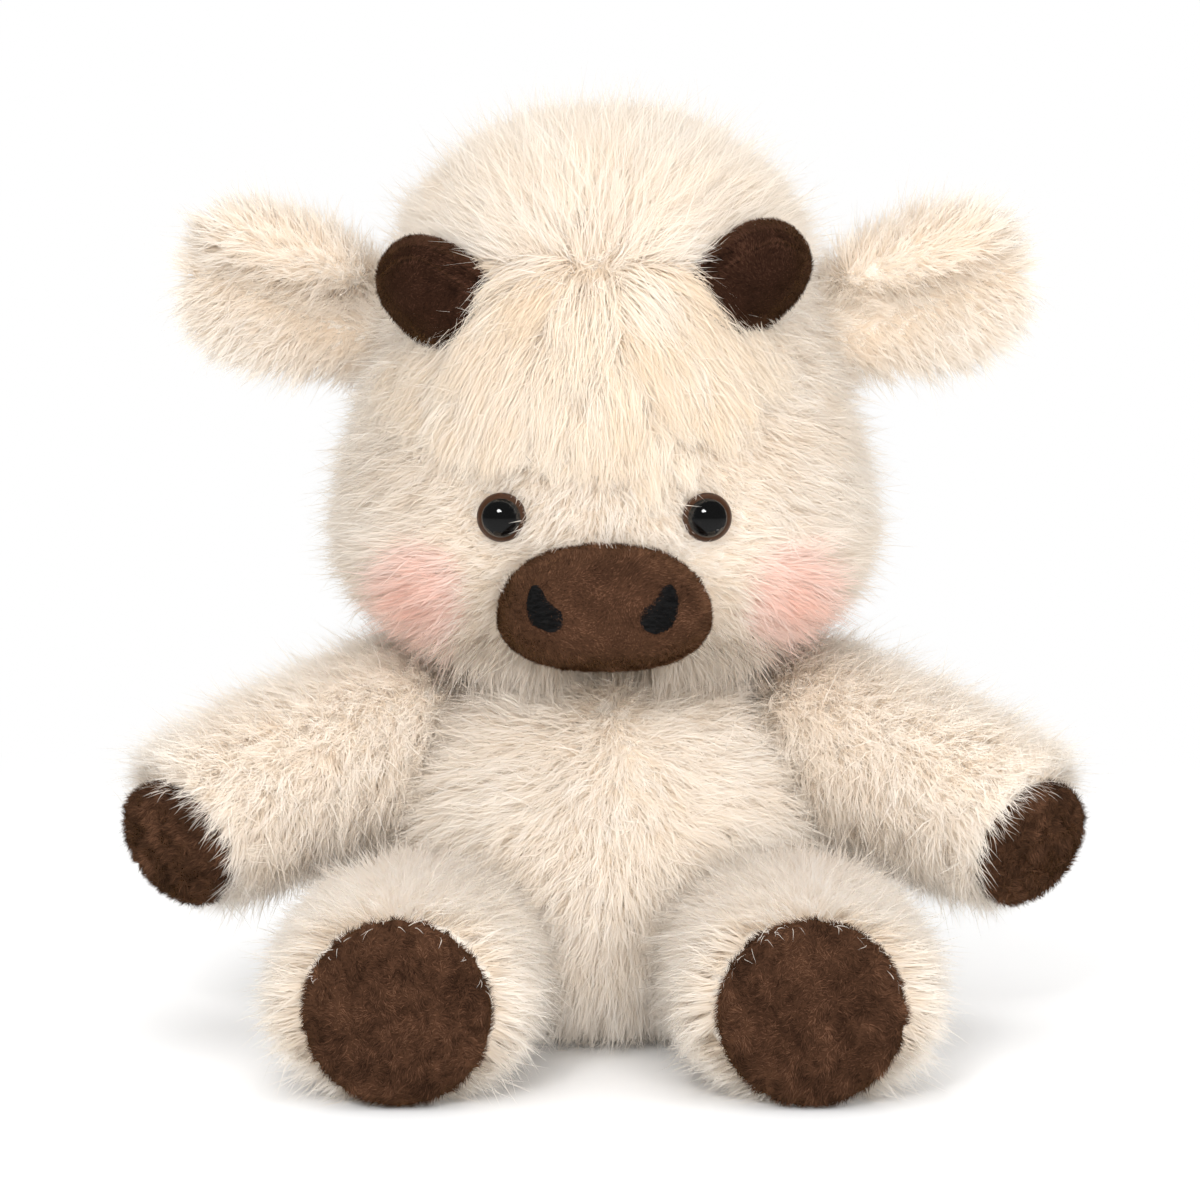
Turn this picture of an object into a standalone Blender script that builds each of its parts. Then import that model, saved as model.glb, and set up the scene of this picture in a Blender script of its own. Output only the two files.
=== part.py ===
"""A sitting plush cow, about 300 mm tall, as its separate sewn and pressed pieces.

Units are metres, +Z is up and the toy faces -Y. The origin is the middle of the flat seat that it sits on.
Each soft outline is taken at half the depth of the fur pile, so a skin's wall is the backing cloth and the
pile that is pressed against it. The toy's own left is +X.
"""
import math

import bmesh
import bpy
from mathutils import Matrix, Vector
from mathutils.bvhtree import BVHTree

SIDES = (("left", 1), ("right", -1))

# Cloth and clearances
SKIN_WALL = 0.006
SUEDE_WALL = 0.0016
FIT_GAP = 0.0003
TURN_GAP = 0.0006
SEAT_FLAT = 0.0005

# Torso
TORSO_HEIGHT = 0.1285
TORSO_HALF_WIDTH = 0.076
TORSO_SHARES = (
    # height, half width, half depth, shift back
    (0.000, 0.00, 0.00, 0.00),
    (0.012, 0.50, 0.47, 0.02),
    (0.095, 0.85, 0.76, 0.03),
    (0.380, 1.00, 0.88, 0.00),
    (0.620, 0.92, 0.82, 0.00),
    (0.800, 0.77, 0.71, 0.00),
    (0.920, 0.52, 0.52, 0.00),
    (0.975, 0.28, 0.28, 0.00),
    (1.000, 0.00, 0.00, 0.00),
)
TORSO_SEGMENTS = 26
TORSO_RINGS = 13
PELLET_HALF_WIDTH = 0.034
PELLET_HEIGHT = 0.026
PELLET_DIP_SHARE = 0.35

# Head
NECK_OVERLAP = 0.0090
HEAD_BOTTOM = TORSO_HEIGHT - SEAT_FLAT - NECK_OVERLAP
HEAD_HEIGHT = 0.1690
HEAD_TOP = HEAD_BOTTOM + HEAD_HEIGHT
HEAD_HALF_WIDTH = 0.084
HEAD_SHIFT_BACK = -0.002
HEAD_SHARES = (
    (0.000, 0.00, 0.00, 0.00),
    (0.020, 0.55, 0.50, 0.00),
    (0.075, 0.82, 0.74, 0.00),
    (0.190, 1.00, 0.89, -0.01),
    (0.360, 0.97, 0.88, -0.01),
    (0.520, 0.87, 0.81, 0.00),
    (0.700, 0.75, 0.73, 0.01),
    (0.860, 0.62, 0.61, 0.02),
    (0.960, 0.37, 0.37, 0.02),
    (1.000, 0.00, 0.00, 0.02),
)
HEAD_CORNER = 2.15
HEAD_SEGMENTS = 28
HEAD_RINGS = 15

# Eyes: a domed plastic eye on a ribbed shank, held by a lock washer inside the head, and above the muzzle's middle
EYE_X = 0.033
EYE_RISE = 0.0270
EYE_RADIUS = 0.0075
EYE_DOME = 0.0055
EYE_RIM = 0.0010
EYE_SINK = 0.0038
SHANK_RADIUS = 0.0021
SHANK_RIB_RADIUS = 0.0025
SHANK_LENGTH = 0.0140
SHANK_RIBS = 4
WASHER_RADIUS = 0.0068
WASHER_THICKNESS = 0.0012
WASHER_TEETH = 6
EYE_SEGMENTS = 16

# Muzzle, whose middle rises from the chin, and the two embroidered nostrils
MUZZLE_RISE = 0.0250
MUZZLE_HALF_WIDTH = 0.0315
MUZZLE_HALF_TALL = 0.0195
MUZZLE_LENGTH = 0.0440
MUZZLE_PROUD = 0.0170
MUZZLE_TAPER_SHARE = 0.07
MUZZLE_SHARES = (
    (0.00, 0.00, 0.00, 0.00),
    (0.03, 0.60, 0.60, 0.00),
    (0.20, 0.94, 0.94, 0.00),
    (0.50, 1.00, 1.00, 0.00),
    (0.78, 0.94, 0.92, 0.00),
    (0.93, 0.72, 0.70, 0.00),
    (0.985, 0.42, 0.40, 0.00),
    (1.00, 0.00, 0.00, 0.00),
)
MUZZLE_CORNER = 2.35
MUZZLE_SEGMENTS = 20
MUZZLE_RINGS = 10
NOSTRIL_X = 0.0172
NOSTRIL_RISE = 0.0010
NOSTRIL_HALF_LENGTH = 0.0080
NOSTRIL_WIDE_RADIUS = 0.0042
NOSTRIL_NARROW_RADIUS = 0.0027
NOSTRIL_LEAN = math.radians(20)
NOSTRIL_PROUD = 0.0009
NOSTRIL_ARC_POINTS = 6

# Horns, below the head's top. They are sewn on unevenly: the toy's left one is nearer the middle and higher
HORN_X = 0.0437
HORN_DROP = 0.0520
HORN_UNEVEN_X = 0.0033
HORN_UNEVEN_DROP = 0.0025
HORN_DIRECTION = (0.74, -0.32, 0.60)
HORN_RADIUS = 0.0157
HORN_LENGTH = 0.0255
HORN_ROOT = 0.0140
HORN_SHARES = (
    (0.00, 0.00, 0.00, 0.00),
    (0.02, 0.80, 0.80, 0.00),
    (0.30, 0.98, 0.98, 0.00),
    (0.62, 0.93, 0.92, 0.00),
    (0.84, 0.76, 0.75, 0.00),
    (0.96, 0.46, 0.45, 0.00),
    (1.00, 0.00, 0.00, 0.00),
)
HORN_CORNER = 2.3
HORN_SEGMENTS = 14
HORN_RINGS = 8

# Forelock: a fringe of long hair, cut in locks along its lower edge. It rises from the eyes
FORELOCK_THICKNESS = 0.0080
FORELOCK_BACK = 0.004
FORELOCK_HALF_WIDTH = 0.048
FORELOCK_RISE = 0.0330
FORELOCK_DROP = 0.031
FORELOCK_LOCK_SHARES = (
    # across, down: tips and notches of the locks, from the right side to the left
    (-1.00, -0.45),
    (-0.90, 0.30),
    (-0.68, 0.02),
    (-0.52, 0.62),
    (-0.34, 0.30),
    (-0.16, 0.80),
    (-0.02, 0.50),
    (0.16, 1.00),
    (0.34, 0.42),
    (0.50, 0.72),
    (0.68, 0.10),
    (0.86, 0.38),
    (1.00, -0.45),
)

# Ears: a leaf with its upper edge rolled forwards. Its root is below the head's top
EAR_ROOT_OUT = 0.0022
EAR_ROOT_BACK = 0.004
EAR_DROP = 0.0640
EAR_LENGTH = 0.0660
EAR_RISE = math.radians(18)
EAR_ROOT_RADIUS = 0.0150
EAR_HALF_WIDTH = 0.0245
EAR_HALF_THICKNESS = 0.0075
EAR_SHARES = (
    (0.22, 0.72, 1.00, 0.00),
    (0.45, 0.96, 0.95, 0.00),
    (0.65, 1.00, 0.90, 0.00),
    (0.84, 0.80, 0.76, 0.00),
    (0.96, 0.43, 0.45, 0.00),
    (1.00, 0.00, 0.00, 0.00),
)
EAR_ROLL_RADIUS = 0.0100
EAR_ROLL_UP = 0.0125
EAR_ROLL_FORWARD = 0.0050
EAR_ROLL_SHARES = (
    (0.12, 0.00, 0.00, 0.00),
    (0.17, 0.60, 0.60, 0.00),
    (0.40, 1.00, 1.00, 0.00),
    (0.70, 1.00, 1.00, 0.00),
    (0.90, 0.66, 0.66, 0.00),
    (0.96, 0.00, 0.00, 0.00),
)
EAR_SEGMENTS = 14
EAR_RINGS = 10

# Arms. The shoulder is below the torso's top
SHOULDER_OUT = 0.0010
SHOULDER_DROP = 0.0340
ARM_DIRECTION = (0.790, -0.520, -0.275)
ARM_RADIUS = 0.0300
ARM_LENGTH = 0.0850
ARM_SHARES = (
    (0.30, 0.98, 0.98, 0.00),
    (0.62, 0.93, 0.93, 0.00),
    (0.88, 0.84, 0.84, 0.00),
    (1.02, 0.64, 0.64, 0.00),
    (1.07, 0.00, 0.00, 0.00),
)
ARM_SEGMENTS = 16
ARM_RINGS = 12
ARM_LIFT = math.radians(-25)
ARM_LOWER = math.radians(30)
PAD_RADIUS = 0.0212
PAD_DIRECTION = (0.580, -0.740, -0.340)
PAD_DROP = 0.0045
PAD_CROWN = 0.0045

# Legs
HIP_X = 0.0575
LEG_DIRECTION = (0.060, -0.990, -0.060)
LEG_RADIUS = 0.0330
LEG_WIDTH_SHARE = 1.27
LEG_LENGTH = 0.0530
LEG_SHARES = (
    (0.35, 1.00, 1.00, 0.00),
    (0.70, 0.99, 0.99, 0.00),
    (0.93, 0.93, 0.93, 0.00),
    (1.06, 0.76, 0.76, 0.00),
    (1.12, 0.00, 0.00, 0.00),
)
LEG_SEGMENTS = 18
LEG_RINGS = 12
SOLE_RADIUS = 0.0280
SOLE_CROWN = 0.0050
PAD_EDGE = 0.0020
PAD_SEGMENTS = 20

# Tail, at the back of the torso
TAIL_HEIGHT = 0.078
TAIL_ROOT_OUT = 0.0060
TAIL_RADIUS = 0.0065
TAIL_LENGTH = 0.0400
TAIL_LEAN = math.radians(40)
TAIL_SHARES = (
    (0.30, 0.85, 0.85, 0.00),
    (0.75, 0.80, 0.80, 0.00),
    (0.97, 0.62, 0.62, 0.00),
    (1.00, 0.00, 0.00, 0.00),
)
TAIL_SEGMENTS = 12
TAIL_RINGS = 12
TUFT_RADIUS = 0.0085
TUFT_LENGTH = 0.0240
TUFT_OVERLAP = 0.0060
TUFT_SHARES = (
    (0.00, 0.00, 0.00, 0.00),
    (0.05, 0.70, 0.70, 0.00),
    (0.40, 1.00, 1.00, 0.00),
    (0.75, 0.66, 0.66, 0.00),
    (1.00, 0.00, 0.00, 0.00),
)
TUFT_RINGS = 8

# Long enough to run past any piece when cutting
OVERRUN = 0.050

# Seats
SEAT_SEGMENTS = 18
SEAT_RINGS = 10
SWEEP_GAP = 0.0013
SWEEP_STEPS = 4

COLOURS = {
    "fur_cream": ((0.86, 0.76, 0.64), 0.95),
    "suede_brown": ((0.075, 0.035, 0.020), 0.90),
    "embroidery_black": ((0.010, 0.009, 0.008), 0.60),
    "eye_plastic": ((0.010, 0.008, 0.007), 0.08),
    "washer_plastic": ((0.80, 0.80, 0.78), 0.45),
    "stuffing_white": ((0.88, 0.88, 0.86), 1.00),
    "bag_cotton": ((0.70, 0.66, 0.58), 0.95),
}

parts = bpy.data.collections.new("plush_cow")
cutters = bpy.data.collections.new("cutters")


def clear_scene():
    """Empties the scene and adds the collections of parts and of cutters."""
    for obj in list(bpy.data.objects):
        bpy.data.objects.remove(obj, do_unlink=True)
    for collection in (parts, cutters):
        bpy.context.scene.collection.children.link(collection)


def make_material(name, finish):
    """A plain material in the colour and roughness of one of the toy's finishes."""
    colour, roughness = COLOURS[finish]
    material = bpy.data.materials.new(name)
    material.use_nodes = True
    shader = material.node_tree.nodes["Principled BSDF"]
    shader.inputs["Base Color"].default_value = (*colour, 1)
    shader.inputs["Roughness"].default_value = roughness
    return material


def add_joint(name, place):
    """An empty on a joint's axis, which carries the pieces that move about it."""
    empty = bpy.data.objects.new(name, None)
    empty.location = place
    empty.empty_display_size = EYE_RADIUS
    parts.objects.link(empty)
    return empty


def add_part(name, mesh, finish, joint=None):
    """Adds a mesh to the parts under the name of its piece, carried by its joint."""
    obj = bpy.data.objects.new(name, mesh)
    mesh.materials.append(make_material(name, finish))
    mesh.shade_smooth()
    parts.objects.link(obj)
    if joint:
        obj.parent = joint
        obj.matrix_parent_inverse = Matrix.Translation(-joint.location)
    return obj


def add_cutter(name, mesh):
    """Adds a mesh that only cuts others."""
    obj = bpy.data.objects.new(name, mesh)
    obj.hide_render = True
    obj.display_type = "WIRE"
    cutters.objects.link(obj)
    return obj


def combine(obj, other, operation="DIFFERENCE"):
    """Cuts, joins or intersects an object with another."""
    modifier = obj.modifiers.new(other.name, "BOOLEAN")
    modifier.operation = operation
    modifier.object = other
    modifier.solver = "EXACT"


def smooth_rows(knots, count, start=None, end=None):
    """Rows evenly spaced along a smooth curve through the knots, with the first and last knots included.

    The curve runs on past each end to the row given there, or to the mirror image of the form's other side.
    """
    first = start or (knots[1][0], -knots[1][1], -knots[1][2], knots[1][3])
    last = end or (knots[-2][0], -knots[-2][1], -knots[-2][2], knots[-2][3])
    padded = [first, *knots, last]
    rows = []
    for step in range(count + 1):
        place = step / count * (len(knots) - 1)
        span = min(int(place), len(knots) - 2)
        t = place - span
        a, b, c, d = padded[span : span + 4]
        row = []
        for p, q, r, s in zip(a, b, c, d):
            bend = 2 * p - 5 * q + 4 * r - s
            twist = -p + 3 * q - 3 * r + s
            row.append((2 * q + (r - p) * t + bend * t**2 + twist * t**3) / 2)
        rows.append((row[0], max(row[1], 0), max(row[2], 0), row[3]))
    return rows


def soft_mesh(name, rows, segments, corner=2.0, matrix=None):
    """A closed form with a ring at each row (height, half width, half depth, shift back), and poles at its ends."""
    bm = bmesh.new()
    bmesh.ops.create_uvsphere(bm, u_segments=segments, v_segments=len(rows) - 1, radius=1)
    for vert in bm.verts:
        latitude = math.asin(max(-1, min(1, vert.co.z))) / math.pi + 1 / 2
        height, half_width, half_depth, shift = rows[round(latitude * (len(rows) - 1))]
        around = math.atan2(vert.co.y, vert.co.x)
        across = math.copysign(abs(math.cos(around)) ** (2 / corner), math.cos(around))
        along = math.copysign(abs(math.sin(around)) ** (2 / corner), math.sin(around))
        vert.co = (half_width * across, half_depth * along + shift, height)
    if matrix:
        bmesh.ops.transform(bm, matrix=matrix, verts=bm.verts)
    bmesh.ops.recalc_face_normals(bm, faces=bm.faces)
    mesh = bpy.data.meshes.new(name)
    bm.to_mesh(mesh)
    bm.free()
    return mesh


def swollen(shares, length, half_width, count, inset=0.0, bottom=0.0):
    """Rows of a form given in shares of its length and half width, drawn in all round by an inset."""
    rows = []
    long_scale = 1 - 2 * inset / length
    wide_scale = 1 - inset / half_width
    for height, wide, deep, shift in smooth_rows(shares, count):
        rows.append(
            (
                bottom + length / 2 + (height - 1 / 2) * length * long_scale,
                wide * half_width * wide_scale,
                deep * half_width * wide_scale,
                shift * half_width,
            )
        )
    return rows


def ball_and_limb(shares, radius, length, count, inset=0.0):
    """Rows of a limb with a ball at its root, at height 0, and a stuffed tube that goes on from it."""
    ball_count = count // 2
    rows = []
    for step in range(ball_count):
        angle = step / ball_count * math.pi / 2
        rows.append((-(radius - inset) * math.cos(angle), (radius - inset) * math.sin(angle)))
    return [(height, wide, wide, 0.0) for height, wide in rows] + tube_rows(
        shares, radius, length, count - ball_count, inset
    )


def tube_rows(shares, radius, length, count, inset=0.0):
    """Rows of a limb from the middle of its ball to its end, which is open or flat and so isn't drawn in."""
    knots = [(0.0, 1.0, 1.0, 0.0), *shares]
    rows = []
    for height, wide, _, _ in smooth_rows(knots, count, start=(-shares[0][0], 1.0, 1.0, 0.0)):
        drawn = max(wide * radius - inset * min(1, wide), 0)
        rows.append((height * length, drawn, drawn, 0.0))
    return rows


def aim(direction, place, up=(0, 0, 1)):
    """A matrix that turns local +Z to a direction, keeps local Y near upwards, and moves the origin to a place."""
    z_axis = Vector(direction).normalized()
    x_axis = Vector(up).cross(z_axis).normalized()
    y_axis = z_axis.cross(x_axis)
    turn = Matrix((x_axis, y_axis, z_axis)).transposed().to_4x4()
    return Matrix.Translation(place) @ turn


def mirrored(values, side):
    """A place or a direction of the toy's left side, carried to the given side."""
    return Vector((values[0] * side, values[1], values[2]))


def turned(obj, profile, segments, matrix):
    """Turns a profile of (radius, height), which runs from the top down, about its Z axis, and places it."""
    bm = bmesh.new()
    verts = [bm.verts.new((radius, 0, height)) for radius, height in profile]
    for first, second in zip(verts, verts[1:]):
        bm.edges.new((first, second))
    bm.to_mesh(obj.data)
    bm.free()
    screw = obj.modifiers.new("turn", "SCREW")
    screw.steps = segments
    screw.render_steps = segments
    screw.use_merge_vertices = True
    screw.merge_threshold = FIT_GAP / 100
    screw.use_smooth_shade = True
    obj.matrix_basis = matrix
    return obj


def turned_part(name, finish, joint, profile, segments, matrix):
    return turned(add_part(name, bpy.data.meshes.new(name), finish, joint), profile, segments, matrix)


def turned_cutter(name, profile, segments, matrix):
    return turned(add_cutter(name, bpy.data.meshes.new(name)), profile, segments, matrix)


# Forms that more than one piece is cut from


def torso_mesh(name, inset=0.0, rings=TORSO_RINGS, segments=TORSO_SEGMENTS):
    rows = swollen(TORSO_SHARES, TORSO_HEIGHT, TORSO_HALF_WIDTH, rings, inset, bottom=-SEAT_FLAT)
    return soft_mesh(name, rows, segments)


def head_mesh(name, inset=0.0, rings=HEAD_RINGS, segments=HEAD_SEGMENTS):
    rows = swollen(HEAD_SHARES, HEAD_HEIGHT, HEAD_HALF_WIDTH, rings, inset, bottom=HEAD_BOTTOM)
    matrix = Matrix.Translation((0, HEAD_SHIFT_BACK, 0))
    return soft_mesh(name, rows, segments, HEAD_CORNER, matrix)


def arm_mesh(name, side, shoulder, inset=0.0):
    rows = ball_and_limb(ARM_SHARES, ARM_RADIUS, ARM_LENGTH, ARM_RINGS, inset)
    return soft_mesh(name, rows, ARM_SEGMENTS, matrix=aim(mirrored(ARM_DIRECTION, side), shoulder))


def leg_mesh(name, side, hip, inset=0.0):
    rows = ball_and_limb(LEG_SHARES, LEG_RADIUS, LEG_LENGTH, LEG_RINGS, inset)
    turn = aim(mirrored(LEG_DIRECTION, side), (0, 0, 0))
    widen = Matrix.Diagonal((LEG_WIDTH_SHARE, 1, 1, 1))
    return soft_mesh(name, rows, LEG_SEGMENTS, matrix=Matrix.Translation(hip) @ widen @ turn)


def ear_meshes(name, side, root):
    """The leaf of an ear and the roll along its upper edge. Local X is across its thickness, and Y up its width."""
    direction = mirrored((math.cos(EAR_RISE), 0, math.sin(EAR_RISE)), side)
    matrix = aim(direction, root)
    root_share = EAR_ROOT_RADIUS / EAR_HALF_WIDTH
    ball_count = EAR_RINGS // 2
    leaf_rows = []
    for step in range(ball_count):
        angle = step / ball_count * math.pi / 2
        thick = EAR_HALF_THICKNESS * math.sin(angle)
        leaf_rows.append((-EAR_ROOT_RADIUS * math.cos(angle), thick, EAR_ROOT_RADIUS * math.sin(angle), 0.0))
    knots = [(0.0, root_share, 1.0, 0.0), *EAR_SHARES]
    start = (-EAR_SHARES[0][0], root_share, 1.0, 0.0)
    for height, wide, thick, _ in smooth_rows(knots, EAR_RINGS - ball_count, start=start):
        leaf_rows.append((height * EAR_LENGTH, thick * EAR_HALF_THICKNESS, wide * EAR_HALF_WIDTH, 0.0))
    leaf = soft_mesh(name + "_leaf", leaf_rows, EAR_SEGMENTS, matrix=matrix)
    roll_rows = [
        (height * EAR_LENGTH, wide * EAR_ROLL_RADIUS, deep * EAR_ROLL_RADIUS, 0.0)
        for height, wide, deep, _ in smooth_rows(EAR_ROLL_SHARES, EAR_RINGS)
    ]
    offset = Matrix.Translation((-side * EAR_ROLL_FORWARD, EAR_ROLL_UP, 0))
    roll = soft_mesh(name + "_roll", roll_rows, EAR_SEGMENTS, matrix=matrix @ offset)
    return leaf, roll


def tail_matrix(root):
    return aim((0, math.sin(TAIL_LEAN), -math.cos(TAIL_LEAN)), root, up=(0, 1, 0))


def tail_mesh(name, root, inset=0.0):
    rows = ball_and_limb(TAIL_SHARES, TAIL_RADIUS, TAIL_LENGTH, TAIL_RINGS, inset)
    return soft_mesh(name, rows, TAIL_SEGMENTS, matrix=tail_matrix(root))


def tuft_mesh(name, root):
    rows = swollen(TUFT_SHARES, TUFT_LENGTH, TUFT_RADIUS, TUFT_RINGS, bottom=TAIL_LENGTH - TUFT_OVERLAP)
    return soft_mesh(name, rows, TAIL_SEGMENTS, matrix=tail_matrix(root))


# Places on the torso and the head, where the other pieces are sewn


def finder_of(mesh):
    """A tree that finds places on a mesh, which isn't kept."""
    bm = bmesh.new()
    bm.from_mesh(mesh)
    finder = BVHTree.FromBMesh(bm)
    bm.free()
    bpy.data.meshes.remove(mesh)
    return finder


def place_on(finder, start, ahead):
    """Where a line from outside first meets a form, and the way out of the form there."""
    place, normal, _, _ = finder.ray_cast(Vector(start), Vector(ahead))
    return place, normal


def on_face(head, x, height):
    """The place on the face at a width and height, and the way out of it there."""
    return place_on(head, (x, -2 * HEAD_HALF_WIDTH, height), (0, 1, 0))


def ear_root(head, side):
    """The middle of an ear's round root, just outside the head's side."""
    start = mirrored((2 * HEAD_HALF_WIDTH, EAR_ROOT_BACK, HEAD_TOP - EAR_DROP), side)
    return place_on(head, start, (-side, 0, 0))[0] + Vector((side * EAR_ROOT_OUT, 0, 0))


def shoulder_place(torso, side):
    """The middle of an arm's round root, at the torso's side."""
    start = mirrored((2 * TORSO_HALF_WIDTH, 0, TORSO_HEIGHT - SEAT_FLAT - SHOULDER_DROP), side)
    return place_on(torso, start, (-side, 0, 0))[0] + Vector((side * SHOULDER_OUT, 0, 0))


def hip_place(torso, side):
    """The middle of a leg's round root, level with the front of the belly."""
    height = LEG_RADIUS - SEAT_FLAT
    belly = place_on(torso, (0, -2 * TORSO_HALF_WIDTH, height), (0, 1, 0))[0]
    return mirrored((HIP_X, belly.y, height), side)


def tail_root(torso):
    """The middle of the tail's round root, just outside the torso's back."""
    back = place_on(torso, (0, 2 * TORSO_HALF_WIDTH, TAIL_HEIGHT), (0, -1, 0))[0]
    return back + Vector((0, TAIL_ROOT_OUT, 0))


# Seats, which let a sewn-on piece swing in the larger one


def neck_seat():
    """The top of the torso, turned about the neck's axis with running clearance, which the head is cut by."""
    rows = swollen(TORSO_SHARES, TORSO_HEIGHT, TORSO_HALF_WIDTH, TORSO_RINGS, -TURN_GAP, bottom=-SEAT_FLAT)
    round_rows = [(height, wide, wide, 0.0) for height, wide, _, _ in rows]
    return add_cutter("neck_seat", soft_mesh("neck_seat", round_rows, TORSO_SEGMENTS))


def ball_mesh(name, place, radii, axis):
    """A ball, or a ball stretched to three radii, whose flat facets still clear the true one by the running gap."""
    facet = math.cos(math.pi / SEAT_SEGMENTS) * math.cos(math.pi / (2 * SEAT_RINGS))
    rows = []
    for step in range(SEAT_RINGS + 1):
        angle = step / SEAT_RINGS * math.pi
        rows.append((-math.cos(angle), math.sin(angle), math.sin(angle), 0.0))
    grown = [(radius + TURN_GAP) / facet for radius in radii]
    matrix = Matrix.Translation(place) @ Matrix.Diagonal((*grown, 1)) @ aim(axis, (0, 0, 0))
    return soft_mesh(name, rows, SEAT_SEGMENTS, matrix=matrix)


def ball_seat(name, place, radii, axis):
    """A seat for a round root that swings about an axis."""
    return add_cutter(name, ball_mesh(name, place, radii, axis))


def arm_seat(name, side, place):
    """The space that an arm takes up as it swings about X: a hull over its ball and its tube in several places."""
    seat = ball_mesh(name, place, (ARM_RADIUS, ARM_RADIUS, ARM_RADIUS), (1, 0, 0))
    grown = ARM_RADIUS + SWEEP_GAP
    rows = [(height, wide, wide, 0.0) for height, wide, _, _ in tube_rows(ARM_SHARES, grown, ARM_LENGTH, ARM_RINGS)]
    tube = soft_mesh(name + "_tube", rows, SEAT_SEGMENTS, matrix=aim(mirrored(ARM_DIRECTION, side), (0, 0, 0)))
    bm = bmesh.new()
    for vert in seat.vertices:
        bm.verts.new(vert.co)
    for step in range(SWEEP_STEPS + 1):
        angle = ARM_LIFT + (ARM_LOWER - ARM_LIFT) * step / SWEEP_STEPS
        swing = Matrix.Translation(place) @ Matrix.Rotation(angle, 4, "X")
        for vert in tube.vertices:
            bm.verts.new(swing @ vert.co)
    hull = bmesh.ops.convex_hull(bm, input=bm.verts)
    bmesh.ops.delete(bm, geom=hull["geom_interior"], context="VERTS")
    bmesh.ops.recalc_face_normals(bm, faces=bm.faces)
    seat.clear_geometry()
    bm.to_mesh(seat)
    bm.free()
    bpy.data.meshes.remove(tube)
    return add_cutter(name, seat)


def floor_slab():
    """Everything below the seat's plane."""
    bm = bmesh.new()
    bmesh.ops.create_cube(bm, size=1)
    reach = 2 * (TORSO_HALF_WIDTH + ARM_LENGTH + LEG_LENGTH)
    bmesh.ops.scale(bm, vec=(reach, reach, OVERRUN), verts=bm.verts)
    bmesh.ops.translate(bm, vec=(0, 0, -OVERRUN / 2), verts=bm.verts)
    mesh = bpy.data.meshes.new("floor_slab")
    bm.to_mesh(mesh)
    bm.free()
    return add_cutter("floor_slab", mesh)


def limb_seats(torso):
    """Cutters for both arms, both legs and the tail, which the torso is cut by."""
    seats = []
    for label, side in SIDES:
        seats.append(arm_seat(f"arm_seat_{label}", side, shoulder_place(torso, side)))
        leg_radii = (LEG_RADIUS * LEG_WIDTH_SHARE, LEG_RADIUS, LEG_RADIUS)
        seats.append(ball_seat(f"leg_seat_{label}", hip_place(torso, side), leg_radii, (1, 0, 0)))
    tail_radii = (TAIL_RADIUS, TAIL_RADIUS, TAIL_RADIUS)
    seats.append(ball_seat("tail_seat", tail_root(torso), tail_radii, (1, 0, 0)))
    return seats


def ear_seats(head):
    """Cutters for the round roots of both ears, which the head is cut by."""
    radii = (EAR_ROOT_RADIUS, EAR_HALF_THICKNESS, EAR_ROOT_RADIUS)
    return [ball_seat(f"ear_seat_{label}", ear_root(head, side), radii, (0, 1, 0)) for label, side in SIDES]


# Pieces


def make_torso(floor, seats):
    """The torso's skin, with holes for the limbs, its stuffing, and the bag of pellets in its seat."""
    skin = add_part("torso_skin", torso_mesh("torso_skin"), "fur_cream")
    combine(skin, add_cutter("torso_hollow", torso_mesh("torso_hollow", SKIN_WALL)))
    combine(skin, floor)
    stuffing_inset = SKIN_WALL + FIT_GAP
    stuffing = add_part("torso_stuffing", torso_mesh("torso_stuffing", stuffing_inset), "stuffing_white")
    for seat in seats:
        combine(skin, seat)
        combine(stuffing, seat)
    bag_rows = pellet_rows()
    bag = add_part("pellet_bag", soft_mesh("pellet_bag", bag_rows, TAIL_SEGMENTS), "bag_cotton")
    combine(bag, add_cutter("bag_limit", torso_mesh("bag_limit", stuffing_inset)), "INTERSECT")
    pocket = add_cutter("bag_pocket", soft_mesh("bag_pocket", pellet_rows(FIT_GAP), TAIL_SEGMENTS))
    combine(stuffing, pocket)


def pellet_rows(growth=0.0):
    """Rows of the pellet bag, a flat ball that dips through the bottom of the stuffing."""
    middle = SKIN_WALL + PELLET_HEIGHT * (1 / 2 - PELLET_DIP_SHARE)
    rows = []
    for step in range(TUFT_RINGS + 1):
        angle = step / TUFT_RINGS * math.pi
        wide = (PELLET_HALF_WIDTH + growth) * math.sin(angle)
        height = middle - (PELLET_HEIGHT / 2 + growth) * math.cos(angle)
        rows.append((height, wide, wide, 0.0))
    return rows


def make_head(joint, neck, seats):
    """The head's skin, open at the neck, and its stuffing."""
    skin = add_part("head_skin", head_mesh("head_skin"), "fur_cream", joint)
    combine(skin, add_cutter("head_hollow", head_mesh("head_hollow", SKIN_WALL)))
    inner = head_mesh("head_stuffing", SKIN_WALL + FIT_GAP)
    stuffing = add_part("head_stuffing", inner, "stuffing_white", joint)
    for seat in (neck, *seats):
        combine(skin, seat)
        combine(stuffing, seat)
    return skin, stuffing


def eye_profile():
    """Half the section of an eye: its dome, its rim, and the ribbed shank behind."""
    points = []
    arc = EYE_SEGMENTS // 4
    for step in range(arc + 1):
        angle = step / arc * math.pi / 2
        points.append((EYE_RADIUS * math.sin(angle), EYE_RIM + EYE_DOME * math.cos(angle)))
    points.append((EYE_RADIUS, 0))
    points.append((SHANK_RIB_RADIUS, 0))
    pitch = SHANK_LENGTH / (SHANK_RIBS + 1)
    for rib in range(SHANK_RIBS):
        top = -pitch * (rib + 1 / 2)
        points.append((SHANK_RADIUS, top))
        points.append((SHANK_RIB_RADIUS, top - pitch * 2 / 3))
    points.append((SHANK_RADIUS, -SHANK_LENGTH))
    points.append((0, -SHANK_LENGTH))
    return points


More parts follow.
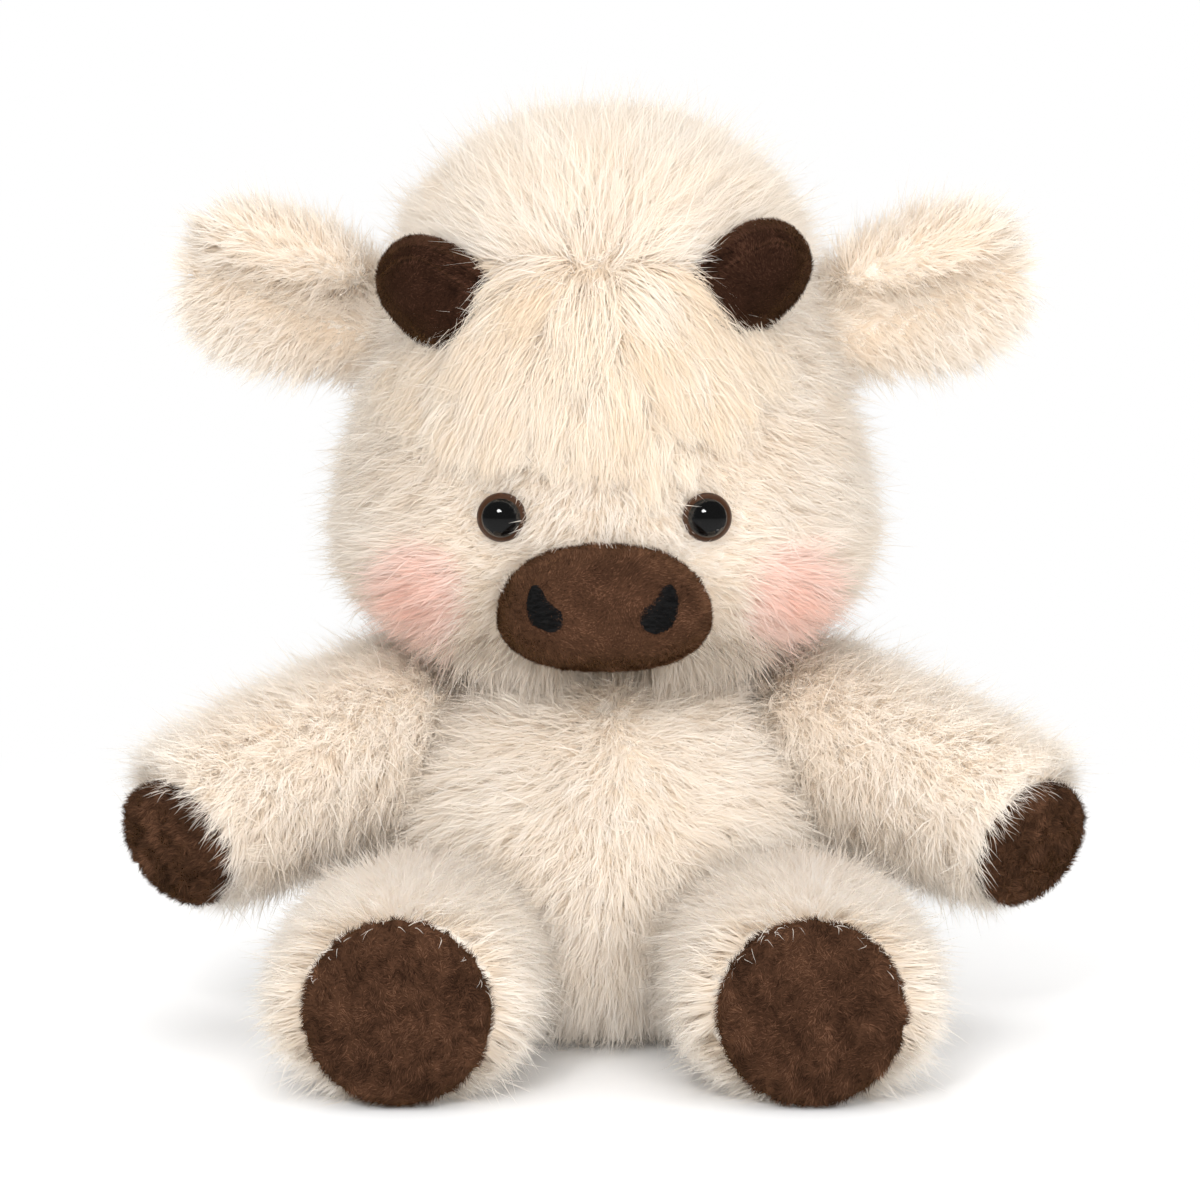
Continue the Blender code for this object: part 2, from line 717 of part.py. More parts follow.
def washer_outline():
    """The points of a lock washer's hole, whose teeth bite on the shank."""
    inner = SHANK_RIB_RADIUS + FIT_GAP
    outer = (WASHER_RADIUS + inner) / 2
    points = []
    for tooth in range(WASHER_TEETH * 2):
        radius = outer if tooth % 2 else inner
        for edge in (0, 1):
            angle = (tooth + edge) * math.pi / WASHER_TEETH
            points.append((radius * math.cos(angle), radius * math.sin(angle)))
    return points


def make_prism(name, points, low, high):
    """A mesh with a flat outline in X and Y, raised from a low height to a high one."""
    bm = bmesh.new()
    verts = [bm.verts.new((x, y, low)) for x, y in points]
    face = bm.faces.new(verts)
    raised = bmesh.ops.extrude_face_region(bm, geom=[face])["geom"]
    top = [item for item in raised if isinstance(item, bmesh.types.BMVert)]
    bmesh.ops.translate(bm, vec=(0, 0, high - low), verts=top)
    bmesh.ops.recalc_face_normals(bm, faces=bm.faces)
    mesh = bpy.data.meshes.new(name)
    bm.to_mesh(mesh)
    bm.free()
    return mesh


def make_eyes(joint, head, skin, stuffing):
    """The safety eyes, seated in the face's pile, with a lock washer on each shank inside the skin."""
    washer_top = EYE_SINK - SKIN_WALL - 2 * FIT_GAP
    washer_bottom = washer_top - WASHER_THICKNESS
    well_profile = (
        (0, OVERRUN),
        (EYE_RADIUS + FIT_GAP, OVERRUN),
        (EYE_RADIUS + FIT_GAP, -FIT_GAP),
        (SHANK_RIB_RADIUS + FIT_GAP, -FIT_GAP),
        (SHANK_RIB_RADIUS + FIT_GAP, -SKIN_WALL),
        (0, -SKIN_WALL),
    )
    pocket_profile = (
        (0, 0),
        (WASHER_RADIUS + FIT_GAP, 0),
        (WASHER_RADIUS + FIT_GAP, washer_bottom - FIT_GAP),
        (SHANK_RIB_RADIUS + FIT_GAP, washer_bottom - FIT_GAP),
        (SHANK_RIB_RADIUS + FIT_GAP, -SHANK_LENGTH - FIT_GAP),
        (0, -SHANK_LENGTH - FIT_GAP),
    )
    disc_profile = ((0, washer_top), (WASHER_RADIUS, washer_top), (WASHER_RADIUS, washer_bottom), (0, washer_bottom))
    for label, side in SIDES:
        place, normal = on_face(head, EYE_X * side, HEAD_BOTTOM + MUZZLE_RISE + EYE_RISE)
        seat = aim(normal, place - normal * EYE_SINK)
        turned_part(f"eye_{label}", "eye_plastic", joint, eye_profile(), EYE_SEGMENTS, seat)
        combine(skin, turned_cutter(f"eye_well_{label}", well_profile, EYE_SEGMENTS, seat))
        combine(stuffing, turned_cutter(f"eye_pocket_{label}", pocket_profile, EYE_SEGMENTS, seat))
        washer = turned_part(f"eye_washer_{label}", "washer_plastic", joint, disc_profile, EYE_SEGMENTS, seat)
        hole_name = f"washer_hole_{label}"
        hole = make_prism(hole_name, washer_outline(), washer_bottom - OVERRUN, washer_top + OVERRUN)
        hole.transform(seat)
        combine(washer, add_cutter(hole_name, hole))


def muzzle_mesh(name, middle, inset=0.0):
    """The muzzle's cushion, a rounded bean that is a little narrower towards its top, with the face at its middle."""
    turn = Matrix.Rotation(math.pi / 2, 4, "X")
    length_rows = swollen(MUZZLE_SHARES, MUZZLE_LENGTH, MUZZLE_HALF_WIDTH, MUZZLE_RINGS, inset)
    tall = (MUZZLE_HALF_TALL - inset) / (MUZZLE_HALF_WIDTH - inset)
    rows = [(height, wide, deep * tall, 0.0) for height, wide, deep, _ in length_rows]
    mesh = soft_mesh(name, rows, MUZZLE_SEGMENTS, MUZZLE_CORNER)
    for vert in mesh.vertices:
        vert.co.x *= 1 - MUZZLE_TAPER_SHARE * vert.co.y / MUZZLE_HALF_TALL
    back = middle + Vector((0, MUZZLE_LENGTH - MUZZLE_PROUD, 0))
    mesh.transform(Matrix.Translation(back) @ turn)
    return mesh


def make_muzzle(joint, head, face):
    """The suede muzzle, its stuffing, and the nostrils embroidered on it."""
    middle, _ = on_face(head, 0, HEAD_BOTTOM + MUZZLE_RISE)
    muzzle = add_part("muzzle", muzzle_mesh("muzzle", middle), "suede_brown", joint)
    combine(muzzle, add_cutter("muzzle_hollow", muzzle_mesh("muzzle_hollow", middle, SUEDE_WALL)))
    combine(muzzle, face)
    inner = muzzle_mesh("muzzle_stuffing", middle, SUEDE_WALL + FIT_GAP)
    stuffing = add_part("muzzle_stuffing", inner, "stuffing_white", joint)
    combine(stuffing, face)
    surface = add_cutter("nostril_under", muzzle_mesh("nostril_under", middle, -FIT_GAP))
    proud = add_cutter("nostril_over", muzzle_mesh("nostril_over", middle, -FIT_GAP - NOSTRIL_PROUD))
    stand = Matrix.Rotation(math.pi / 2, 4, "X")
    for label, side in SIDES:
        name = f"nostril_{label}"
        mesh = make_prism(name, nostril_outline(), 0, MUZZLE_LENGTH)
        lean = Matrix.Rotation(-NOSTRIL_LEAN * side, 4, "Z")
        place = Matrix.Translation(middle + Vector((NOSTRIL_X * side, 0, NOSTRIL_RISE)))
        mesh.transform(place @ stand @ lean)
        nostril = add_part(name, mesh, "embroidery_black", joint)
        combine(nostril, proud, "INTERSECT")
        combine(nostril, surface)


def nostril_outline():
    """A drop, wide at the bottom and narrow at the top."""
    points = []
    ends = (
        (-NOSTRIL_HALF_LENGTH + NOSTRIL_WIDE_RADIUS, NOSTRIL_WIDE_RADIUS, math.pi),
        (NOSTRIL_HALF_LENGTH - NOSTRIL_NARROW_RADIUS, NOSTRIL_NARROW_RADIUS, 0),
    )
    for middle, radius, start in ends:
        for step in range(NOSTRIL_ARC_POINTS + 1):
            angle = start + step / NOSTRIL_ARC_POINTS * math.pi
            points.append((radius * math.cos(angle), middle + radius * math.sin(angle)))
    return points


def horn_mesh(name, side, head, inset):
    """A horn, which stands out of the head's front."""
    place, _ = on_face(head, HORN_X * side - HORN_UNEVEN_X, HEAD_TOP - HORN_DROP + HORN_UNEVEN_DROP * side)
    total = HORN_ROOT + HORN_LENGTH
    rows = swollen(HORN_SHARES, total, HORN_RADIUS, HORN_RINGS, inset, bottom=-HORN_ROOT)
    return soft_mesh(name, rows, HORN_SEGMENTS, HORN_CORNER, aim(mirrored(HORN_DIRECTION, side), place))


def make_horns(joint, head, face):
    """The two suede horns and their stuffing, each cut at its base by the head's surface."""
    for label, side in SIDES:
        name = f"horn_{label}"
        horn = add_part(name, horn_mesh(name, side, head, 0), "suede_brown", joint)
        name = f"horn_hollow_{label}"
        combine(horn, add_cutter(name, horn_mesh(name, side, head, SUEDE_WALL)))
        combine(horn, face)
        name = f"horn_stuffing_{label}"
        stuffing = add_part(name, horn_mesh(name, side, head, SUEDE_WALL + FIT_GAP), "stuffing_white", joint)
        combine(stuffing, face)


def make_forelock(joint, head, face):
    """The fringe, a layer of long hair over the crown and forehead that ends in pointed locks beside the horns."""
    forelock = add_part("forelock", head_mesh("forelock", -FORELOCK_THICKNESS), "fur_cream", joint)
    combine(forelock, face)
    hem = HEAD_BOTTOM + MUZZLE_RISE + EYE_RISE + FORELOCK_RISE
    top = HEAD_TOP + OVERRUN
    points = [(across * FORELOCK_HALF_WIDTH, hem - down * FORELOCK_DROP) for across, down in FORELOCK_LOCK_SHARES]
    points += [(FORELOCK_HALF_WIDTH, top), (-FORELOCK_HALF_WIDTH, top)]
    outline = make_prism("forelock_outline", points, -FORELOCK_BACK, HEAD_HALF_WIDTH + OVERRUN)
    outline.transform(Matrix.Rotation(math.pi / 2, 4, "X"))
    combine(forelock, add_cutter("forelock_outline", outline), "INTERSECT")
    for label, side in SIDES:
        name = f"horn_clearance_{label}"
        combine(forelock, add_cutter(name, horn_mesh(name, side, head, -FIT_GAP)))


def make_ears(head):
    """The two ears, each of one piece with its roll, on a round root in the head's side."""
    for label, side in SIDES:
        root = ear_root(head, side)
        joint = add_joint(f"ear_flop_{label}", root)
        leaf, roll = ear_meshes(f"ear_{label}", side, root)
        ear = add_part(f"ear_{label}", leaf, "fur_cream", joint)
        combine(ear, add_cutter(f"ear_roll_{label}", roll), "UNION")


def disc_profile(radius, crown):
    """Half the section of a stuffed suede disc: crowned in front, with a short upright edge, and flat behind."""
    profile = []
    arc = PAD_SEGMENTS // 4
    for step in range(arc + 1):
        angle = step / arc * math.pi / 2
        profile.append((radius * math.sin(angle), PAD_EDGE + crown * math.cos(angle)))
    return profile + [(radius, 0), (0, 0)]


def make_limb(kind, label, joint, form, floor, end_matrix, disc_name, disc_radius, disc_crown):
    """A limb's skin and stuffing, cut flat at its end, with a suede disc there."""
    side = dict(SIDES)[label]
    root = joint.location
    name = f"{kind}_skin_{label}"
    skin = add_part(name, form(name, side, root), "fur_cream", joint)
    name = f"{kind}_hollow_{label}"
    combine(skin, add_cutter(name, form(name, side, root, SKIN_WALL)))
    name = f"{kind}_stuffing_{label}"
    stuffing = add_part(name, form(name, side, root, SKIN_WALL + FIT_GAP), "stuffing_white", joint)
    past = disc_radius + OVERRUN
    end_profile = ((0, OVERRUN), (past, OVERRUN), (past, -FIT_GAP), (0, -FIT_GAP))
    cutter = turned_cutter(f"{kind}_end_{label}", end_profile, PAD_SEGMENTS, end_matrix)
    for piece in (skin, stuffing):
        combine(piece, cutter)
        combine(piece, floor)
    profile = disc_profile(disc_radius, disc_crown)
    turned_part(f"{disc_name}_{label}", "suede_brown", joint, profile, PAD_SEGMENTS, end_matrix)


def make_limbs(floor, torso):
    """Both arms with their hoof pads, and both legs with their soles."""
    for label, side in SIDES:
        shoulder = shoulder_place(torso, side)
        joint = add_joint(f"shoulder_{label}", shoulder)
        arm_end = shoulder + mirrored(ARM_DIRECTION, side).normalized() * ARM_LENGTH
        end_matrix = aim(mirrored(PAD_DIRECTION, side), arm_end) @ Matrix.Translation((0, -PAD_DROP, 0))
        make_limb("arm", label, joint, arm_mesh, floor, end_matrix, "hoof_pad", PAD_RADIUS, PAD_CROWN)
        hip = hip_place(torso, side)
        joint = add_joint(f"hip_{label}", hip)
        leg_end = hip + mirrored(LEG_DIRECTION, side).normalized() * LEG_LENGTH
        leg_end.z = SOLE_RADIUS + SEAT_FLAT
        end_matrix = aim((0, -1, 0), leg_end)
        make_limb("leg", label, joint, leg_mesh, floor, end_matrix, "sole", SOLE_RADIUS, SOLE_CROWN)


def make_tail(torso):
    """The tail, on a round root in the torso's back, and the tuft over its end."""
    root = tail_root(torso)
    joint = add_joint("tail_swing", root)
    add_part("tail", tail_mesh("tail", root), "fur_cream", joint)
    tuft = add_part("tail_tuft", tuft_mesh("tail_tuft", root), "suede_brown", joint)
    combine(tuft, add_cutter("tail_in_tuft", tail_mesh("tail_in_tuft", root, -FIT_GAP)))


def main():
    clear_scene()
    floor = floor_slab()
    torso = finder_of(torso_mesh("torso_fine", rings=4 * TORSO_RINGS, segments=4 * TORSO_SEGMENTS))
    head = finder_of(head_mesh("head_fine", rings=4 * HEAD_RINGS, segments=4 * HEAD_SEGMENTS))
    make_torso(floor, limb_seats(torso))
    neck = add_joint("neck_turn", (0, 0, HEAD_BOTTOM))
    skin, stuffing = make_head(neck, neck_seat(), ear_seats(head))
    make_eyes(neck, head, skin, stuffing)
    face = add_cutter("face_surface", head_mesh("face_surface", -FIT_GAP))
    make_muzzle(neck, head, face)
    make_horns(neck, head, face)
    make_forelock(neck, head, face)
    make_ears(head)
    make_limbs(floor, torso)
    make_tail(torso)


main()
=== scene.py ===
"""The looks of a sitting plush cow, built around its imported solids.

Fur grows as real strands from a smooth stuffed form inside each furry solid. The suede pieces, the eyes and
the stitching are modelled over their solids. Units are metres, +Z is up and the toy faces -Y.
"""
import math
from contextlib import contextmanager

import bmesh
import bpy
import numpy as np
from bpy.props import FloatProperty, FloatVectorProperty, PointerProperty
from mathutils import Matrix, Vector
from mathutils.bvhtree import BVHTree


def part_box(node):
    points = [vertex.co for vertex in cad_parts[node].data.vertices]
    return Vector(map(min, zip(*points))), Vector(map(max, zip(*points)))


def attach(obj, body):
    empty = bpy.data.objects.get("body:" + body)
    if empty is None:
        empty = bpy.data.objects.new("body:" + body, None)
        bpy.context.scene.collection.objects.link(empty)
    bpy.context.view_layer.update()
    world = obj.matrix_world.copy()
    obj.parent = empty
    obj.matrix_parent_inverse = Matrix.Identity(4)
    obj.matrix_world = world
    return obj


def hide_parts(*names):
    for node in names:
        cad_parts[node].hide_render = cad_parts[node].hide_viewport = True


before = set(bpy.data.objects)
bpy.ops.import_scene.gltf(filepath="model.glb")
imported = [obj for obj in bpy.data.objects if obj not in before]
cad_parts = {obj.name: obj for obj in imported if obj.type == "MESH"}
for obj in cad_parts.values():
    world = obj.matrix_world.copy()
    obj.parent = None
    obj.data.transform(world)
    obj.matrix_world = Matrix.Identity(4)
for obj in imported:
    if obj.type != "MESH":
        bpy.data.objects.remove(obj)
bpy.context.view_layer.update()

bl_info = {
    "name": "Plush Cow",
    "version": (1, 0, 0),
    "blender": (4, 5, 0),
    "location": "View3D > Sidebar > Plush Cow",
    "description": "Dresses the solids of a sitting plush cow in fur, suede and thread",
    "category": "Add Mesh",
}

SIDES = (("left", 1), ("right", -1))
MILLIMETRE = 0.001
LOWEST_TINT, HIGHEST_TINT = 0.02, 0.98
FUR_UV = "OFBake"
CODE_WIDTH = 0.004
TRIANGLES_PER_PIECE = 195000
CLOTH_FRAMES = 20
GLOSS_LEVEL = 0.12
SEED = 20
SUEDE_SHEEN = (0.30, 0.15, 0.06, 1)
# Darker copies of the fur for the head, ears and crown, and for the forelock: painted shade
PAINTED_FUR_SHADE = {"fur_face": (0.980, 0.972, 0.962), "fur_long": (0.955, 0.940, 0.915)}
LOCK_WIDTH = 0.0085
LOCK_GATHER = 0.72
LOCK_CURL = 0.0015
STRAY_TRIES = 14000
NOSTRIL_THREADS = 150
NOSTRIL_SHARES = (
    (0.02, 0.98, 0.08), (0.03, 0.90, 0.16), (0.06, 0.76, 0.22), (0.12, 0.60, 0.26), (0.26, 0.44, 0.30),
    (0.41, 0.33, 0.33), (0.54, 0.24, 0.32), (0.63, 0.14, 0.26), (0.69, 0.05, 0.14),
)
FRINGE_HEM = (
    (-0.062, 0.192), (-0.046, 0.185), (-0.030, 0.179), (-0.022, 0.178), (-0.004, 0.181), (0.008, 0.174),
    (0.023, 0.183), (0.036, 0.194), (0.043, 0.206), (0.048, 0.215),
)

# Places on the toy, and how far fur keeps from what is sewn on
CHEEK = (0.058, -0.045, 0.141)
CHEEK_RADIUS = 0.021
CHEEK_FULLNESS = 0.0035
EYE_DENT_RADIUS = 0.013
EYE_DENT = 0.0022
BLUSH_PLACE = (0.053, 0.146)
BLUSH_RADIUS = 0.0135
WHORL_ACROSS, WHORL_HEIGHT = 0.004, 0.093
FRINGE_HEIGHT = 0.190
EAR_CREASE = ((0.120, 0.241), (0.078, 0.221))
EYE_CLEAR = 0.0062
HORN_CLEAR = 0.0145
PAD_CLEAR = 0.0200
SOLE_CLEAR = 0.0275
NEAR_REACH = 0.014
HORN_SEAM = 0.42

# The stage: each softbox has its name, its place, its size and whether it glints in the eyes
CAMERA_TARGET = (-0.0013, 0, 0.137)
LIGHT_TARGET = (0, 0, 0.14)
FLOOR_TONE = 0.90
SOFTBOXES = (
    ("key", (-0.42, -1.60, 1.05), 0.45, True),
    ("fill", (0.60, -1.60, 0.25), 1.0, False),
    ("top", (0, -0.40, 1.50), 1.2, False),
    ("back", (0, 1.50, 0.75), 1.0, False),
    ("window", (-0.12, -1.30, 0.80), 0.10, True),
)


# Settings that a user would change


class CowFur(bpy.types.PropertyGroup):
    pile: FloatProperty(name="Pile", description="Length of the body's fur", default=0.0140, unit="LENGTH")
    forelock: FloatProperty(
        name="Forelock", description="Longest hair of the fringe", default=0.034, unit="LENGTH"
    )
    strand: FloatProperty(
        name="Strand", description="Width of one strand at its root", default=0.00034, unit="LENGTH"
    )
    coat: FloatProperty(name="Coat", description="Long strands for each square millimetre", default=1.25)
    undercoat: FloatProperty(
        name="Undercoat", description="Short strands for each square millimetre", default=1.45
    )
    tip: FloatVectorProperty(
        name="Tip colour", description="Colour of the fur's tips",
        subtype="COLOR", default=(0.99, 0.965, 0.925)
    )
    # The root's darker, warmer colour is partly the fur's own tone and partly painted shade deep in the pile
    root: FloatVectorProperty(
        name="Root colour", description="Colour of the fur near its backing",
        subtype="COLOR", default=(0.970, 0.885, 0.785)
    )
    thin: FloatVectorProperty(
        name="Thin colour", description="Colour of the light that strands let through", subtype="COLOR",
        default=(0.99, 0.962, 0.922),
    )
    through: FloatProperty(
        name="Light through", description="Share of the light that a strand lets through", default=0.60
    )
    blush: FloatVectorProperty(
        name="Blush", description="Colour sprayed on the cheeks", subtype="COLOR", default=(0.97, 0.60, 0.49)
    )


class CowSuede(bpy.types.PropertyGroup):
    colour: FloatVectorProperty(
        name="Suede", description="Colour of the hooves, horns and muzzle",
        subtype="COLOR", default=(0.064, 0.030, 0.0165)
    )
    horn: FloatVectorProperty(
        name="Horn suede", description="Colour of the horns, a shade darker",
        subtype="COLOR", default=(0.025, 0.0105, 0.0060)
    )
    nap: FloatProperty(name="Nap", description="Depth of the short nap", default=0.0005, unit="LENGTH")
    density: FloatProperty(name="Nap density", description="Strokes for each square millimetre", default=5.5)


class CowEyes(bpy.types.PropertyGroup):
    rim: FloatVectorProperty(
        name="Ring", description="Colour of the ring round the pupil",
        subtype="COLOR", default=(0.050, 0.021, 0.010)
    )
    pupil_share: FloatProperty(name="Pupil", description="Pupil's share of the eye's radius", default=0.84)


class CowStage(bpy.types.PropertyGroup):
    distance: FloatProperty(
        name="Distance", description="From the camera to the toy", default=1.21, unit="LENGTH"
    )
    elevation: FloatProperty(
        name="Elevation", description="Camera's angle above the toy",
        default=math.radians(6.5), subtype="ANGLE"
    )
    lens: FloatProperty(name="Lens", description="Focal length in millimetres", default=113.0)
    key: FloatProperty(name="Key light", description="Power of the main softbox", default=12.5, unit="POWER")
    fill: FloatProperty(
        name="Fill light", description="Power of the second softbox", default=20.5, unit="POWER"
    )
    window: FloatProperty(
        name="Small light", description="Power of the light that glints in the eyes",
        default=1.6, unit="POWER"
    )
    top: FloatProperty(
        name="Top light", description="Power of the softbox overhead", default=6.5, unit="POWER"
    )
    back: FloatProperty(
        name="Back light", description="Power of the softbox behind", default=6.0, unit="POWER"
    )
    ambient: FloatProperty(name="Ambient", description="Strength of the white surroundings", default=0.84)


class CowSettings(bpy.types.PropertyGroup):
    fur: PointerProperty(type=CowFur)
    suede: PointerProperty(type=CowSuede)
    eyes: PointerProperty(type=CowEyes)
    stage: PointerProperty(type=CowStage)


def settings():
    return bpy.context.scene.plush_cow


# Materials


class Value:
    """A number socket of a material, so that its maths reads as an expression."""

    def __init__(self, shader, socket):
        self.shader = shader
        self.socket = socket

    def maths(self, operation, first, second):
        return self.shader.add("ShaderNodeMath", {"operation": operation}, {0: first, 1: second})

    def __add__(self, other):
        return self.maths("ADD", self, other)

    def __radd__(self, other):
        return self.maths("ADD", other, self)

    def __sub__(self, other):
        return self.maths("SUBTRACT", self, other)

    def __rsub__(self, other):
        return self.maths("SUBTRACT", other, self)

    def __mul__(self, other):
        return self.maths("MULTIPLY", self, other)

    def __rmul__(self, other):
        return self.maths("MULTIPLY", other, self)


class Shader:
    """A material whose nodes are added by one method."""

    def __init__(self, name, roughness, **constants):
        self.material = bpy.data.materials.new(name)
        self.material.use_nodes = True
        self.nodes = self.material.node_tree.nodes
        self.links = self.material.node_tree.links
        self.surface = self.nodes["Principled BSDF"]
        self.surface.inputs["Roughness"].default_value = roughness
        for socket, value in constants.items():
            self.surface.inputs[socket.replace("_", " ")].default_value = value

    def add(self, kind, choices=None, sockets=None, output=0):
        """A node of a type, with its own settings first and then the values or links of its sockets."""
        node = self.nodes.new(kind)
        for name, choice in (choices or {}).items():
            if name == "stops":
                ramp = node.color_ramp
                while len(ramp.elements) < len(choice):
                    ramp.elements.new(1.0)
                for element, (place, colour) in zip(ramp.elements, choice):
                    element.position = place
                    element.color = (*colour, 1)
            else:
                setattr(node, name, choice)
        for key, value in (sockets or {}).items():
            if isinstance(value, Value):
                self.links.new(value.socket, node.inputs[key])
            else:
                node.inputs[key].default_value = value
        return Value(self, node.outputs[output])

    def mix(self, factor, first, second, blend="MIX"):
        """Two colours mixed by a factor."""
        pair = [value if isinstance(value, Value) else (*value, 1) for value in (first, second)]
        choices = {"data_type": "RGBA", "blend_type": blend}
        return self.add("ShaderNodeMix", choices, {0: factor, 6: pair[0], 7: pair[1]}, output=2)

    def place(self, stretch=(1, 1, 1)):
        """Object coordinates, stretched."""
        where = self.add("ShaderNodeTexCoord", output=3)
        return self.add("ShaderNodeMapping", {}, {"Vector": where, "Scale": stretch})

    def noise(self, scale, detail=2.0, roughness=0.5, stretch=(1, 1, 1)):
        sockets = {"Vector": self.place(stretch), "Scale": scale, "Detail": detail, "Roughness": roughness}
        return self.add("ShaderNodeTexNoise", {}, sockets)

    def colour(self, value):
        self.links.new(value.socket, self.surface.inputs["Base Color"])

    def mix_with(self, share, other):
        """Show another shader in place of a share of what the surface shows so far."""
        end = self.nodes["Material Output"].inputs["Surface"]
        shown = Value(self, end.links[0].from_socket)
        mixed = self.add("ShaderNodeMixShader", {}, {0: share, 1: shown, 2: other})
        self.links.new(mixed.socket, end)

    def bump(self, height, depth, strength=1.0):
        sockets = {"Height": height, "Distance": depth, "Strength": strength}
        self.links.new(self.add("ShaderNodeBump", {}, sockets).socket, self.surface.inputs["Normal"])


def fur_material(name, tip, root, thin, through, spray=None):
    """Strands that are darker at the root. The UV map holds a strand's tint across and its length upwards."""
    shader = Shader(name, 0.75, Sheen_Weight=0.15, Sheen_Roughness=0.5, Specular_IOR_Level=0.12)
    where = shader.add("ShaderNodeUVMap", {"uv_map": FUR_UV})
    tint = shader.add("ShaderNodeSeparateXYZ", {}, {0: where}, output=0)
    along = shader.add("ShaderNodeSeparateXYZ", {}, {0: where}, output=1)
    # Root to tip: the root's warmth is partly the fur's own tone and partly painted shade deep in the pile
    ramp = {"stops": ((0.0, root), (0.55, [(a + 3 * b) / 4 for a, b in zip(root, tip)]), (1.0, tip))}
    plain = shader.add("ShaderNodeValToRGB", ramp, {0: along})
    # A lower tint multiplies in a warm tan: tone that differs at random, and painted shade where tints are
    # lowered
    warm = [value**1.5 for value in root]
    shown = shader.mix((1 - tint) * 0.75, plain, warm, "MULTIPLY")
    if spray:
        shown = shader.mix(0.30 * tint + 0.65 * along * tint, plain, spray)
    shader.colour(shown)
    shader.mix_with(through, shader.add("ShaderNodeBsdfTranslucent", {}, {0: (*thin, 1)}))
    return shader.material


def nap_material(name, colour):
    """The nap of brown suede cloth, whose strokes differ in depth of colour."""
    shader = Shader(name, 0.9, Sheen_Weight=0.35, Sheen_Tint=SUEDE_SHEEN, Specular_IOR_Level=0.05)
    where = shader.add("ShaderNodeUVMap", {"uv_map": FUR_UV})
    tint = shader.add("ShaderNodeSeparateXYZ", {}, {0: where}, output=0)
    dark = [value * 0.30 for value in colour]
    light = [value * 2.5 + 0.003 for value in colour]
    stops = {"stops": ((0.10, dark), (0.50, colour), (0.95, light))}
    shader.colour(shader.add("ShaderNodeValToRGB", stops, {0: tint}))
    return shader.material


def backing_material(name, colour):
    """The knitted backing that the fur grows from."""
    shader = Shader(name, 0.95)
    dark = [value * 0.8 for value in colour]
    shader.colour(shader.mix(shader.noise(700, 2), dark, colour))
    shader.bump(shader.noise(1500, 1), 0.0004)
    return shader.material


def suede_material(name, colour, nap):
    """The cloth below the nap: brushed patches and a fine grain."""
    shader = Shader(name, 0.95, Sheen_Weight=0.35, Sheen_Tint=SUEDE_SHEEN, Specular_IOR_Level=0.05)
    patches = shader.noise(48, 3, 0.55)
    grain = shader.noise(1400, 3, 0.6)
    dark = [value * 0.5 for value in colour]
    light = [value * 1.3 for value in colour]
    stops = {"stops": ((0.30, dark), (0.55, colour), (0.80, light))}
    shader.colour(shader.add("ShaderNodeValToRGB", stops, {0: 0.45 * patches + 0.55 * grain}))
    shader.bump(grain, nap, 0.8)
    return shader.material


def thread_material(name):
    """Black satin thread with a low sheen."""
    shader = Shader(name, 0.55, Specular_IOR_Level=0.10)
    strands = shader.noise(1500, 2, 0.6, (0.25, 1, 1))
    stops = {"stops": ((0.3, (0.001, 0.001, 0.001)), (0.7, (0.009, 0.009, 0.009)))}
    shader.colour(shader.add("ShaderNodeValToRGB", stops, {0: strands}))
    shader.bump(strands, 0.0003, 0.7)
    return shader.material


# Stuffed forms


def add_piece(name, mesh, body, material, nodes=()):
    """A finished piece: it rides on a body, takes a slot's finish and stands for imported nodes."""
    obj = bpy.data.objects.new(name, mesh)
    bpy.context.scene.collection.objects.link(obj)
    obj.data.materials.clear()
    obj.data.materials.append(material)
    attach(obj, body)
    if nodes:
        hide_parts(*nodes)
    return obj


def add_stuffed(name, mesh, body, material, nodes):
    """A finished piece made from a stuffed form."""
    piece = add_piece(name, mesh, body, material, nodes)


@contextmanager
def reshaping(mesh):
    """A mesh opened for editing, which is written back afterwards."""
    bm = bmesh.new()
    bm.from_mesh(mesh)
    yield bm
    bm.to_mesh(mesh)
    bm.free()


def rest_mesh(obj):
    """The mesh that an object's modifiers make, as its own mesh."""
    bpy.context.view_layer.update()
    graph = bpy.context.evaluated_depsgraph_get()
    return bpy.data.meshes.new_from_object(obj.evaluated_get(graph))


def stuffed_form(name, node, voxel, rounds=6, grow=0.0, swell=0.0):
    """A smooth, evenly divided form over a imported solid, blown up like stuffed cloth and then grown."""
    bm = bmesh.new()
    bm.from_mesh(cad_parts[node].data)
    bmesh.ops.remove_doubles(bm, verts=bm.verts, dist=1e-6)
    bmesh.ops.recalc_face_normals(bm, faces=bm.faces)
    mesh = bpy.data.meshes.new(name)
    bm.to_mesh(mesh)
    bm.free()
    helper = bpy.data.objects.new(name + "_helper", mesh)
    bpy.context.scene.collection.objects.link(helper)
    remesh = helper.modifiers.new("cloth", "REMESH")
    remesh.mode = "VOXEL"
    remesh.voxel_size = voxel
    form = rest_mesh(helper)
    bpy.data.objects.remove(helper)
    bpy.data.meshes.remove(mesh)
    axes = {"use_axis_x": True, "use_axis_y": True, "use_axis_z": True}
    with reshaping(form) as bm:
        for _ in range(rounds):
            bmesh.ops.smooth_vert(bm, verts=bm.verts, factor=0.5, **axes)
    if swell:
        inflate(form, swell)
    with reshaping(form) as bm:
        bmesh.ops.subdivide_edges(bm, edges=bm.edges, cuts=1, use_grid_fill=True, smooth=1.0)
        if grow:
            bm.normal_update()
            for vert in bm.verts:
                vert.co += vert.normal * grow
        bmesh.ops.recalc_face_normals(bm, faces=bm.faces)
    form.name = name
    form.shade_smooth()
    return form


def places_of(mesh):
    """The places of a mesh's points."""
    places = np.empty(len(mesh.vertices) * 3)
    mesh.vertices.foreach_get("co", places)
    return places.reshape(-1, 3)


